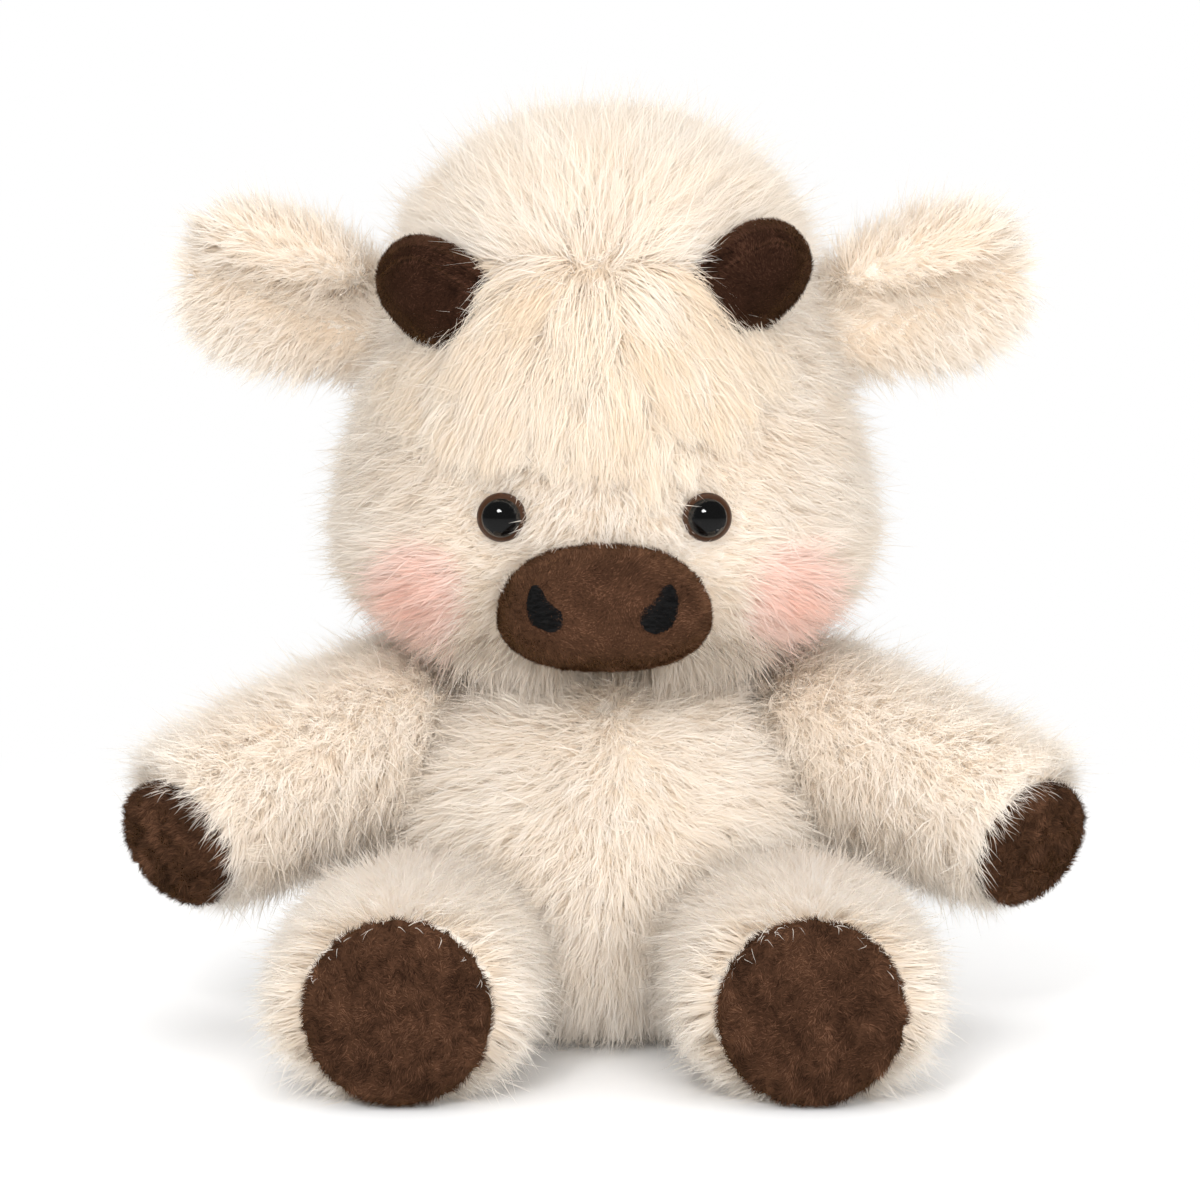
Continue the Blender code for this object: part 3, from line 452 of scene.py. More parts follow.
def inflate(mesh, most):
    """Blow a closed form up by cloth simulation. No point moves further than the given length."""
    scene = bpy.context.scene
    start = places_of(mesh)
    balloon = bpy.data.objects.new("balloon", mesh)
    scene.collection.objects.link(balloon)
    cloth = balloon.modifiers.new("stuffing", "CLOTH")
    cloth.settings.use_pressure = True
    cloth.settings.uniform_pressure_force = 4
    cloth.settings.effector_weights.gravity = 0
    cloth.point_cache.frame_end = CLOTH_FRAMES
    for number in range(1, CLOTH_FRAMES + 1):
        scene.frame_set(number)
    blown = rest_mesh(balloon)
    bpy.data.objects.remove(balloon)
    moves = places_of(blown) - start
    bpy.data.meshes.remove(blown)
    scene.frame_set(1)
    far = np.linalg.norm(moves, axis=1, keepdims=True)
    moves *= np.minimum(1, most / np.maximum(far, 1e-9))
    mesh.vertices.foreach_set("co", (start + moves).reshape(-1))
    mesh.update()


def push(mesh, centre, radius, depth):
    """Move the part of a form near a place along its normals: out as a bulge, or in as a dent."""
    with reshaping(mesh) as bm:
        bm.normal_update()
        for vert in bm.verts:
            near = (vert.co - Vector(centre)).length / radius
            vert.co += vert.normal * depth * math.exp(-near * near)
    mesh.shade_smooth()


# Fur


def unit(vectors):
    return vectors / np.maximum(np.linalg.norm(vectors, axis=-1, keepdims=True), 1e-9)


def along_surface(directions, normals):
    """Directions laid into the surface that has these normals."""
    flat = directions - normals * np.sum(directions * normals, axis=-1, keepdims=True)
    return unit(flat)


def sample_surface(mesh, count, rng):
    """Points spread evenly over a mesh, with its smooth normals there."""
    mesh.calc_loop_triangles()
    corners = np.empty(len(mesh.loop_triangles) * 3, np.int32)
    mesh.loop_triangles.foreach_get("vertices", corners)
    corners = corners.reshape(-1, 3)
    places = np.empty(len(mesh.vertices) * 3, np.float32)
    mesh.vertices.foreach_get("co", places)
    normals = np.empty(len(mesh.vertices) * 3, np.float32)
    mesh.vertices.foreach_get("normal", normals)
    places = places.reshape(-1, 3).astype(float)[corners]
    normals = normals.reshape(-1, 3).astype(float)[corners]
    areas = np.linalg.norm(np.cross(places[:, 1] - places[:, 0], places[:, 2] - places[:, 0]), axis=1) / 2
    chosen = rng.choice(len(corners), size=count, p=areas / areas.sum())
    first, second = rng.random((2, count, 1))
    flipped = first + second > 1
    first, second = np.where(flipped, 1 - first, first), np.where(flipped, 1 - second, second)
    shares = (1 - first - second, first, second)
    points = sum(share * places[chosen, corner] for corner, share in enumerate(shares))
    return points, unit(sum(share * normals[chosen, corner] for corner, share in enumerate(shares)))


def mesh_area(mesh):
    return sum(face.area for face in mesh.polygons)


def surface_tree(mesh):
    return BVHTree.FromPolygons([v.co for v in mesh.vertices], [p.vertices for p in mesh.polygons])


def is_inside(tree, point):
    """Whether a closed form holds a point, by how often a line from the point crosses the form."""
    ahead = Vector((0.31, 0.23, 0.92)).normalized()
    crossings = 0
    place, _, face, _ = tree.ray_cast(point, ahead)
    while face is not None:
        crossings += 1
        place, _, face, _ = tree.ray_cast(place + ahead * 1e-5, ahead)
    return crossings % 2 == 1


def outside(points, trees, depth):
    """Which points lie outside these closed forms, or within a depth of their surface."""
    kept = np.ones(len(points), bool)
    for tree in trees:
        for index in np.flatnonzero(kept):
            point = Vector(points[index])
            if is_inside(tree, point):
                kept[index] = tree.find_nearest(point)[3] < depth
    return kept


def closeness(points, trees, reach):
    """How near each point is to other forms: 1 where they touch, 0 from the reach on."""
    near = np.zeros(len(points))
    for tree in trees:
        gaps = np.array([tree.find_nearest(Vector(point))[3] for point in points])
        near = np.maximum(near, 1 - gaps / reach)
    return np.clip(near, 0, 1)


def drift(points, wavelength, rng):
    """A smooth random value at each point, about 1 at its highest, which changes over the given length."""
    waves = unit(rng.normal(size=(6, 3))) * 2 * math.pi / wavelength * rng.uniform(0.7, 1.3, (6, 1))
    return np.sin(points @ waves.T + rng.uniform(0, 2 * math.pi, 6)).sum(axis=1) / 3


class Coat:
    """Tufts of fur: each one's root, the way it lies, its length, its tint and how far it stands up."""

    def __init__(self, roots, normals, comb, length, tint, lift=None):
        self.roots = roots
        self.normals = normals
        self.comb = along_surface(comb, normals)
        self.length = length
        self.tint = tint
        self.lift = np.zeros(len(roots)) if lift is None else lift


def strand_lines(coat, strands, tuft, lean, steps, rng, gather=0.45, sway=0.22, wave=0.32):
    """The centre lines of every strand, with the normals and the tints that they take from their tuft.

    A tuft's strands start within a radius of its root and draw together towards its tip. Lean gives their
    angle from the surface's normal at the root and at the tip.
    """
    tufts = len(coat.roots)
    owner = np.repeat(np.arange(tufts), strands)
    count = len(owner)
    across = np.cross(coat.normals, coat.comb)
    radius = tuft * np.sqrt(rng.random((count, 1)))
    around = 2 * math.pi * rng.random((count, 1))
    offset = radius * (np.cos(around) * coat.comb[owner] + np.sin(around) * across[owner])
    loose = rng.random((count, 1)) < 0.14
    swirl = wave * drift(coat.roots, 0.016, rng) + rng.normal(0, sway, tufts)
    turn = swirl[owner, None] + rng.normal(0, 0.14, (count, 1)) + loose * rng.normal(0, 0.55, (count, 1))
    heading = np.cos(turn) * coat.comb[owner] + np.sin(turn) * across[owner]
    lift = 0.13 * drift(coat.roots, 0.009, rng) + rng.normal(0, 0.09, tufts) - coat.lift
    tilt = lift[owner, None] + rng.normal(0, 0.09, (count, 1)) - loose * 0.3 * rng.random((count, 1))
    vary = np.clip(rng.normal(1, 0.13, (count, 1)), 0.5, 1.4)
    length = coat.length[owner, None] * vary * (1 + 0.35 * loose)
    points = [coat.roots[owner] + offset]
    for step in range(steps):
        angle = np.clip(lean[0] + (lean[1] - lean[0]) * (step + 0.5) / steps + tilt, 0.05, 1.9)
        ahead = np.cos(angle) * coat.normals[owner] + np.sin(angle) * heading
        points.append(points[-1] + ahead * length / steps)
    drawn = np.where(loose, 0, gather)
    bend = rng.normal(0, 0.04, (count, 1)) * length * np.cross(coat.normals[owner], heading)
    for step in range(1, steps + 1):
        share = step / steps
        points[step] += bend * math.sin(math.pi * share * 1.4) - offset * drawn * share**0.8
    lines = np.stack(points, axis=1)
    lines[:, :, 2] = np.maximum(lines[:, :, 2], 0.4 * MILLIMETRE)
    return lines, coat.normals[owner], coat.tint[owner] + rng.normal(0, 0.04, count)


def ribbon_mesh(name, lines, normals, tints, width, rng):
    """Thin tapered ribbons along lines, as one mesh with soft normals and the fur's own UV map."""
    count, knots, _ = lines.shape
    steps = knots - 1
    ahead = np.empty_like(lines)
    ahead[:, :-1] = lines[:, 1:] - lines[:, :-1]
    ahead[:, -1] = ahead[:, -2]
    ahead = unit(ahead)
    outward = normals if normals.ndim == 3 else normals[:, None, :]
    flat = unit(np.cross(ahead, outward))
    twist = rng.uniform(-0.9, 0.9, (count, 1, 1))
    side = np.cos(twist) * flat + np.sin(twist) * np.cross(flat, ahead)
    taper = np.array([(1 - (step / steps) ** 2.2) for step in range(steps)])[None, :, None]
    half = width / 2 * rng.uniform(0.7, 1.25, (count, 1, 1)) * taper
    verts = np.empty((count, 2 * steps + 1, 3), np.float32)
    verts[:, 0:-1:2] = lines[:, :-1] - side[:, :-1] * half
    verts[:, 1:-1:2] = lines[:, :-1] + side[:, :-1] * half
    verts[:, -1] = lines[:, -1]
    loops = []
    for step in range(steps - 1):
        loops += [2 * step, 2 * step + 1, 2 * step + 3, 2 * step + 2]
    loops += [2 * steps - 2, 2 * steps - 1, 2 * steps]
    loops = np.array(loops)
    starts = np.array([4 * step for step in range(steps)])
    first = np.arange(count)[:, None]
    mesh = bpy.data.meshes.new(name)
    mesh.vertices.add(verts.shape[0] * verts.shape[1])
    mesh.vertices.foreach_set("co", verts.reshape(-1))
    mesh.loops.add(count * len(loops))
    mesh.loops.foreach_set("vertex_index", (first * verts.shape[1] + loops).reshape(-1).astype(np.int32))
    mesh.polygons.add(count * steps)
    mesh.polygons.foreach_set("loop_start", (first * len(loops) + starts).reshape(-1).astype(np.int32))
    mesh.update(calc_edges=True)
    code = np.clip(tints, CODE_WIDTH, 1 - CODE_WIDTH)[:, None]
    ends = np.arange(2 * steps + 1)
    sideways = np.where(ends % 2 == 0, -CODE_WIDTH, CODE_WIDTH)
    sideways[-1] = 0
    upwards = (ends // 2) / steps
    uv = np.empty((count, len(loops), 2), np.float32)
    uv[:, :, 0] = code + sideways[loops][None, :]
    uv[:, :, 1] = upwards[loops][None, :]
    mesh.uv_layers.new(name=FUR_UV).data.foreach_set("uv", uv.reshape(-1))
    mesh.shade_smooth()
    soft = unit(outward * 0.75 + np.cross(side, ahead) * 0.50)
    vertex_normals = np.empty_like(verts)
    vertex_normals[:, 0:-1:2] = soft[:, :-1]
    vertex_normals[:, 1:-1:2] = soft[:, :-1]
    vertex_normals[:, -1] = soft[:, -1]
    mesh.normals_split_custom_set_from_vertices(vertex_normals.reshape(-1, 3))
    return mesh


def grow_fur(name, body, material, strands, width, rng):
    """Pieces of fur that ride on a body, each with a limited number of triangles."""
    lines, normals, tints = strands
    triangles = len(lines) * (2 * (lines.shape[1] - 1) - 1)
    pieces = max(1, math.ceil(triangles / TRIANGLES_PER_PIECE))
    made = []
    for number, chosen in enumerate(np.array_split(np.arange(len(lines)), pieces), 1):
        label = f"{name}_{number}" if pieces > 1 else name
        mesh = ribbon_mesh(label, lines[chosen], normals[chosen], tints[chosen], width, rng)
        made.append(add_piece(label, mesh, body, material))
    return made


def by_angle(points):
    """An order of points round the upright axis, so that each piece of fur covers one sector."""
    return np.argsort(np.arctan2(points[:, 0], -points[:, 1]))


def spread(mesh, spacing, rng):
    """Roots of tufts over a form, one in each small cell of space, so that they lie evenly."""
    count = int(mesh_area(mesh) / spacing**2 * 4)
    points, normals = sample_surface(mesh, count, rng)
    _, chosen = np.unique(np.floor(points / spacing).astype(int), axis=0, return_index=True)
    points, normals = points[chosen], normals[chosen]
    order = by_angle(points)
    return points[order], normals[order]


def held(tint):
    """Tints kept a little inside the range from 0 to 1."""
    return np.clip(tint, LOWEST_TINT, HIGHEST_TINT)


def plain_tint(points, rng):
    """Tints of cream for tufts, in soft patches."""
    return held(0.62 + 0.16 * drift(points, 0.030, rng) + rng.normal(0, 0.14, len(points)))


def grow_coat(name, body, coat, rng, lean, tuft=0.0017, density=1.0, finish="fur", **way):
    """A coat of curved strands over an undercoat of short straight ones, in cream."""
    fur = settings().fur
    cell = (1.5 * tuft / MILLIMETRE) ** 2 * density
    long = strand_lines(coat, max(3, round(fur.coat * cell)), tuft, lean, 2, rng, **way)
    grow_fur(name + "_fur", body, fur_finish(finish), long, fur.strand, rng)
    # The undercoat's tints are cut to about a third, which makes it a warmer tan: painted shade deep between
    # the tufts
    short = Coat(coat.roots, coat.normals, coat.comb, coat.length * 0.74, coat.tint * 0.35, coat.lift)
    low = (lean[0] * 0.8, lean[1] * 0.8)
    under = strand_lines(short, max(3, round(fur.undercoat * cell)), tuft * 1.15, low, 1, rng, gather=0.1)
    grow_fur(name + "_undercoat", body, fur_finish(finish), under, fur.strand * 1.25, rng)


def add_strays(name, body, form, chosen, toward, length, rng, lean=(0.15, 0.95)):
    """Single hairs that cross from the fur on to a sewn piece beside it."""
    fur = settings().fur
    points, normals = sample_surface(form, STRAY_TRIES, rng)
    kept = chosen(points, normals)
    roots, normals = points[kept], normals[kept]
    coat = Coat(roots, normals, toward - roots, np.full(len(roots), length), plain_tint(roots, rng))
    strands = strand_lines(coat, 1, 0.0, lean, 3, rng, sway=0.6)
    grow_fur(name + "_hairs", body, fur_finish("fur"), strands, fur.strand * 0.65, rng)


# Bodies

FORMS = {}


def body_form(key, node, voxel, rounds=6, grow=0.0, swell=0.0):
    """The stuffed form that a body's fur grows from, made once."""
    if key not in FORMS:
        FORMS[key] = stuffed_form(key + "_backing", node, voxel, rounds, grow, swell)
    return FORMS[key]


def torso_form():
    return body_form("torso", "torso_stuffing", 0.005, swell=0.0015)


def head_form():
    """The stuffed head, with full cheeks and with dents where the eyes are pulled in."""
    if "head" not in FORMS:
        mesh = body_form("head", "head_stuffing", 0.005, swell=0.0015)
        for label, side in SIDES:
            eye = middle_of("eye_" + label)
            push(mesh, (side * CHEEK[0], CHEEK[1], CHEEK[2]), CHEEK_RADIUS, CHEEK_FULLNESS)
            push(mesh, (eye[0], eye[1] + 0.008, eye[2]), EYE_DENT_RADIUS, -EYE_DENT)
    return FORMS["head"]


def arm_form(label):
    return body_form("arm_" + label, "arm_stuffing_" + label, 0.004, grow=0.0020, swell=0.0012)


def leg_form(label):
    return body_form("leg_" + label, "leg_stuffing_" + label, 0.004, swell=0.0012)


def ear_form(label):
    return body_form("ear_" + label, "ear_" + label, 0.0022, 2, -0.0014)


def fur_finish(name):
    """The fur's finish: cream, with painted shade on the head and more in the forelock, and pink on the
    cheeks.
    """
    fur = settings().fur
    shade = PAINTED_FUR_SHADE.get(name, (1, 1, 1))
    colours = (fur.tip, fur.root, fur.thin)
    tip, root, thin = (tuple(a * b for a, b in zip(colour, shade)) for colour in colours)
    spray = None
    if name == "fur_blush":
        spray = tuple(fur.blush)
        thin = tuple((a + b) / 2 for a, b in zip(thin, spray))
    return bpy.data.materials.get(name) or fur_material(name, tip, root, thin, fur.through, spray)


def backing_finish():
    # The backing is the fur's root colour darkened: painted shade deep under the fur
    colour = tuple(value * 0.8 for value in settings().fur.root)
    return bpy.data.materials.get("fur_backing") or backing_material("fur_backing", colour)


def suede_finish(name="suede"):
    suede = settings().suede
    colour = tuple(suede.horn if name == "horn_suede" else suede.colour)
    return bpy.data.materials.get(name) or suede_material(name, colour, suede.nap)


def add_backing(name, mesh, body, *nodes):
    add_stuffed(name, mesh, body, backing_finish(), nodes)


def middle_of(node):
    low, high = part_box(node)
    return np.array((low + high) / 2)


class COW_OT_torso(bpy.types.Operator):
    """Stuff the torso and grow its fur"""

    bl_idname = "plush_cow.torso"
    bl_label = "Torso"

    def execute(self, context):
        fur = settings().fur
        rng = np.random.default_rng(SEED)
        add_backing("torso_backing", torso_form(), "torso", "torso_skin", "torso_stuffing", "pellet_bag")
        roots, normals = spread(torso_form(), 0.0026, rng)
        trees = [surface_tree(form(label)) for form in (arm_form, leg_form) for label, _ in SIDES]
        trees.append(surface_tree(head_form()))
        kept = outside(roots, trees, 0.004) & (roots[:, 2] > 0.004)
        roots, normals = roots[kept], normals[kept]
        away = roots - np.array((WHORL_ACROSS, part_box("torso_skin")[0].y, WHORL_HEIGHT))
        flat = np.hypot(away[:, 0], away[:, 2])
        comb = away * (1, 0, 0.5) / np.hypot(flat, 0.026)[:, None] + np.array((0, 0, -0.50))
        comb[roots[:, 1] > 0] = (0, 0, -1)
        below = (roots[:, 1] < 0) * (np.abs(roots[:, 0]) < 0.045)
        under_chin = closeness(roots, trees[-1:], 0.022) * below
        length = fur.pile * (1.02 + 0.07 * drift(roots, 0.012, rng)) * (1 - 0.60 * under_chin)
        lift = 0.45 * closeness(roots, trees, NEAR_REACH) * (1 - np.clip(2 * under_chin, 0, 1))
        coat = Coat(roots, normals, comb, length, plain_tint(roots, rng), lift)
        grow_coat("torso", "torso", coat, rng, (0.50, 1.15), gather=0.55)
        return {"FINISHED"}


def face_shares(points):
    """The fur's length over the face as a share of the pile, and how far each point is from the muzzle."""
    share = np.ones(len(points))
    for label, _ in SIDES:
        eye = middle_of("eye_" + label)
        away = np.hypot(points[:, 0] - eye[0], points[:, 2] - eye[2])
        share = np.minimum(share, 0.40 + np.clip((away - 0.006) / 0.018, 0, 1) * 0.60)
    muzzle = middle_of("muzzle")
    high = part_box("muzzle")[1]
    across = np.abs(points[:, 0]) / high.x
    upright = np.abs(points[:, 2] - muzzle[2]) / (high.z - muzzle[2])
    away = (across**2.4 + upright**2.4) ** (1 / 2.4)
    return np.minimum(share, 0.50 + np.clip((away - 0.95) / 0.9, 0, 1) * 0.50), away


def crown_place():
    """Where the long hair parts on top of the head."""
    low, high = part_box("horn_left")
    return np.array((-0.004, -0.048, (low.z + high.z) / 2 + 0.006))


class COW_OT_head(bpy.types.Operator):
    """Stuff the head, grow its fur and spray its cheeks"""

    bl_idname = "plush_cow.head"
    bl_label = "Head"

    def execute(self, context):
        fur = settings().fur
        rng = np.random.default_rng(SEED + 1)
        add_backing("head_backing", head_form(), "head", "head_skin", "head_stuffing")
        roots, normals = spread(head_form(), 0.0026, rng)
        trees = [surface_tree(ear_form(label)) for label, _ in SIDES] + [surface_tree(torso_form())]
        share, away = face_shares(roots)
        front = roots[:, 1] < -0.03
        share = np.where(front, share, 1)
        under_fringe = np.clip(1 - np.abs(roots[:, 2] - FRINGE_HEIGHT) / 0.022, 0, 1)
        share *= 1 - 0.35 * under_fringe * (np.abs(roots[:, 0]) < 0.045)
        kept = outside(roots, trees, 0.003) & ~(front & (away < 0.84))
        for label, _ in SIDES:
            eye = middle_of("eye_" + label)
            kept &= ~(front & (np.hypot(roots[:, 0] - eye[0], roots[:, 2] - eye[2]) < EYE_CLEAR))
        roots, normals, share = roots[kept], normals[kept], share[kept]
        muzzle = middle_of("muzzle")
        nose = np.array((0, -0.030, muzzle[2]))
        comb = unit(roots - nose) + np.array((0, 0.25, -0.30))
        brow = np.clip((roots[:, 2] - 0.160) / 0.02, 0, 1)[:, None] * (roots[:, 1] < 0)[:, None]
        fall = np.array((0, 0, -1)) + 0.9 * np.clip(roots[:, :1] / 0.05, -1, 1) * np.array((1, 0, 0))
        comb = comb * (1 - brow) + fall * brow
        comb[roots[:, 1] > 0.02] = (0, 0.1, -1)
        chin = np.clip((muzzle[2] - 0.009 - roots[:, 2]) / 0.005, 0, 1) * (roots[:, 1] < -0.025)
        comb = comb * (1 - chin[:, None]) + np.array((0, -0.62, -0.80)) * chin[:, None]
        share = share * (1 - chin) + (1.80 - 9 * np.clip(np.abs(roots[:, 0]), 0, 0.05)) * chin
        top = roots[:, 2] > crown_place()[2] - 0.004
        comb[top] = (roots - crown_place())[top] + np.array((0, 0, 0.02))
        length = fur.pile * share * np.where(top, 1.35, 1.0) * (1 + 0.07 * drift(roots, 0.012, rng))
        # Chin tufts get a higher, paler tint: painted light in the shade under the muzzle
        tint = held(plain_tint(roots, rng) + 0.25 * chin)
        across, height = BLUSH_PLACE
        away = np.hypot((np.abs(roots[:, 0]) - across) * 1.15, (roots[:, 2] - height) * 0.90)
        spray = np.clip(1.25 - away / BLUSH_RADIUS, 0, 1) * (roots[:, 1] < 0)
        pink = rng.random(len(roots)) < 3 * spray
        tint = np.where(pink, held(spray), tint)
        lift = 0.40 * closeness(roots, trees, NEAR_REACH) + 0.35 * chin
        for name, chosen, finish in (("head", ~pink, "fur_face"), ("cheeks", pink, "fur_blush")):
            coat = Coat(*(part[chosen] for part in (roots, normals, comb, length, tint, lift)))
            grow_coat(name, "head", coat, rng, (0.42, 1.05), gather=0.4, finish=finish)
        return {"FINISHED"}


def lock_paths(roots, heads, length, form, heights, down):
    """Centre lines of long locks that follow a form at given heights above it, and its normals there."""
    places, ways = [], []
    steps = heights.shape[1] - 1
    ahead, point = heads, roots
    for step in range(steps + 1):
        found = [form.find_nearest(Vector(place)) for place in point]
        near = np.array([hit[0] for hit in found])
        way = np.array([hit[1] for hit in found])
        place = near + way * heights[:, step, None]
        places.append(place)
        ways.append(way)
        ahead = along_surface(ahead + np.array((0, 0, -down)), way)
        point = place + ahead * (length / steps)[:, None]
    return np.stack(places, axis=1), np.stack(ways, axis=1)


def lock_owner(points, rng):
    """The lock that each tuft belongs to, and how that lock's length and tint differ from the others'."""
    cells = np.floor(points / LOCK_WIDTH + rng.normal(0, 0.12, points.shape))
    _, owner = np.unique(cells, axis=0, return_inverse=True)
    owner = owner.reshape(-1)
    sizes = np.clip(rng.normal(1, 0.20, owner.max() + 1), 0.55, 1.30)
    tints = rng.normal(0, 0.16, owner.max() + 1)
    return owner, sizes[owner], tints[owner]


def draw_together(paths, owner):
    """Paths whose tips run together, lock by lock."""
    total = np.zeros((owner.max() + 1, *paths.shape[1:]))
    np.add.at(total, owner, paths)
    middle = (total / np.bincount(owner)[:, None, None])[owner]
    share = LOCK_GATHER * np.linspace(0, 1, paths.shape[1])[None, :, None] ** 1.6
    return paths * (1 - share) + middle * share


def lock_strands(paths, ways, strands, radius, tint, rng):
    """Strands that follow the paths of locks, side by side at the root and drawn together at the tip."""
    count, knots, _ = paths.shape
    owner = np.repeat(np.arange(count), strands)
    total = len(owner)
    ahead = np.empty_like(paths)
    ahead[:, :-1] = paths[:, 1:] - paths[:, :-1]
    ahead[:, -1] = ahead[:, -2]
    across = unit(np.cross(ways, unit(ahead)))
    wide = rng.uniform(-1, 1, (total, 1))
    high = rng.uniform(-1, 1, (total, 1))
    loose = rng.random((total, 1)) < 0.40
    lines = np.empty((total, knots, 3))
    curl = rng.normal(0, 1, (total, 1))
    phase = rng.uniform(0, math.pi, (total, 1))
    short = rng.uniform(0.60, 1.0, (total, 1))
    for knot in range(knots):
        share = knot / (knots - 1)
        spread_here = radius * (1 - 0.65 * share**1.5) + loose * radius * 1.3 * share
        wave = np.sin(2.6 * share * math.pi + phase) - np.sin(phase)
        side = wide * spread_here + curl * LOCK_CURL * wave
        lift = high * spread_here * 0.6 + loose * np.abs(high) * 0.0026 * share
        lines[:, knot] = paths[owner, knot] + across[owner, knot] * side + ways[owner, knot] * lift
    along = lines.copy()
    for knot in range(1, knots):
        place = short[:, 0] * knot
        low = np.minimum(place.astype(int), knots - 2)
        part = (place - low)[:, None]
        index = np.arange(total)
        along[:, knot] = lines[index, low] * (1 - part) + lines[index, low + 1] * part
    return along, ways[owner], tint[owner] + rng.normal(0, 0.12, total)


class COW_OT_forelock(bpy.types.Operator):
    """Grow the long hair of the crown and the forehead"""

    bl_idname = "plush_cow.forelock"
    bl_label = "Forelock"

    def execute(self, context):
        fur = settings().fur
        rng = np.random.default_rng(SEED + 2)
        crown = crown_place()
        form = surface_tree(head_form())
        points, normals = spread(head_form(), 0.0021, rng)
        across = (points[:, 0] + 0.003) / 0.052
        hem = np.interp(points[:, 0], *zip(*FRINGE_HEM)) + 0.003 * drift(points, 0.014, rng)
        above = points[:, 2] - hem
        front = (points[:, 1] < -0.012) & (above > 0.010) & (np.abs(across) < 1)
        behind = (points[:, 1] >= -0.012) & (points[:, 1] < 0.040)
        top = (points[:, 2] > crown[2]) & behind & (np.abs(across) < 1.2)
        kept = front | top
        for label, _ in SIDES:
            away = points - middle_of("horn_" + label)
            kept &= np.hypot(away[:, 0], away[:, 2]) > HORN_CLEAR
        points, normals, above = points[kept], normals[kept], above[kept]
        wander = np.stack([drift(points, 0.013, rng) for _ in range(3)], axis=1) * 0.40
        heads = along_surface(unit(points - crown) + wander + rng.normal(0, 0.10, points.shape), normals)
        falling = np.clip((crown[2] + 0.004 - points[:, 2]) / 0.010, 0, 1)
        fringe = falling > 0.5
        length = np.where(fringe, np.clip(above * 1.05, 0.014, fur.forelock), fur.forelock * 0.70)
        length *= 1 + 0.12 * drift(points, 0.010, rng) + rng.normal(0, 0.08, len(points))
        layer = np.clip(above / 0.060, 0, 1)
        pieces = []
        for name, chosen, finish, down, heights, tall in (
            ("forelock", fringe, "fur_long", 0.17, (0.0, 0.0045, 0.0060, 0.0065, 0.0050), 0.0060),
            ("crown", ~fringe, "fur_face", 0.0, (0.0, 0.0055, 0.0095, 0.0130, 0.0160), 0.0),
        ):
            raised = np.outer(layer[chosen] * tall, (0, 0.7, 1, 1, 0.8)) + np.array(heights)
            owner, sizes, tints = lock_owner(points[chosen], rng)
            long = length[chosen] * sizes
            paths, ways = lock_paths(points[chosen], heads[chosen], long, form, raised, down)
            paths = draw_together(paths, owner)
            # The forelock's and the crown's tints are lowered below the rest: painted shade; each lock's own
            # tint differs at random
            tint = plain_tint(points[chosen], rng) - (0.16 if name == "forelock" else 0.10) + tints
            strands = lock_strands(paths, ways, 13 if name == "forelock" else 9, 0.0021, tint, rng)
            pieces += grow_fur(name, "head", fur_finish(finish), strands, fur.strand, rng)
        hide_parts("forelock")
        return {"FINISHED"}


class COW_OT_ears(bpy.types.Operator):
    """Stuff both ears and grow their fur"""

    bl_idname = "plush_cow.ears"
    bl_label = "Ears"

    def execute(self, context):
        fur = settings().fur
        for number, (label, side) in enumerate(SIDES):
            rng = np.random.default_rng(SEED + 10 + number)
            body = "ear_" + label
            mesh = ear_form(label)
            add_backing(body + "_backing", mesh, body, body)
            roots, normals = spread(mesh, 0.0022, rng)
            kept = outside(roots, [surface_tree(head_form())], 0.003)
            roots, normals = roots[kept], normals[kept]
            start, end = (np.array((side * across, height)) for across, height in EAR_CREASE)
            flat = roots[:, (0, 2)]
            share = np.clip((flat - start) @ (end - start) / ((end - start) @ (end - start)), 0, 1)
            below = start + share[:, None] * (end - start) - flat
            crease = np.exp(-((np.linalg.norm(below, axis=1) / 0.005) ** 2)) * (normals[:, 1] < 0)
            upright = np.where(below[:, 1] > 0, -0.6, 0.35)
            comb = np.stack((np.full(len(roots), side * 0.9), 0 * share, upright), axis=1)
            length = 0.85 * fur.pile * (1 + 0.08 * drift(roots, 0.010, rng)) * (1 - 0.45 * crease)
            # Along the crease the tints are lowered to a tan: painted shade in the ear's fold
            coat = Coat(roots, normals, comb, length, held(plain_tint(roots, rng) - 0.5 * crease))
            grow_coat(body, body, coat, rng, (0.35, 1.00), tuft=0.0014, finish="fur_face")
        return {"FINISHED"}


def limb_axis(skin, disc):
    """The direction from the middle of a limb's skin to its end disc, and the disc's middle."""
    end = middle_of(disc)
    return unit(end - middle_of(skin)), end


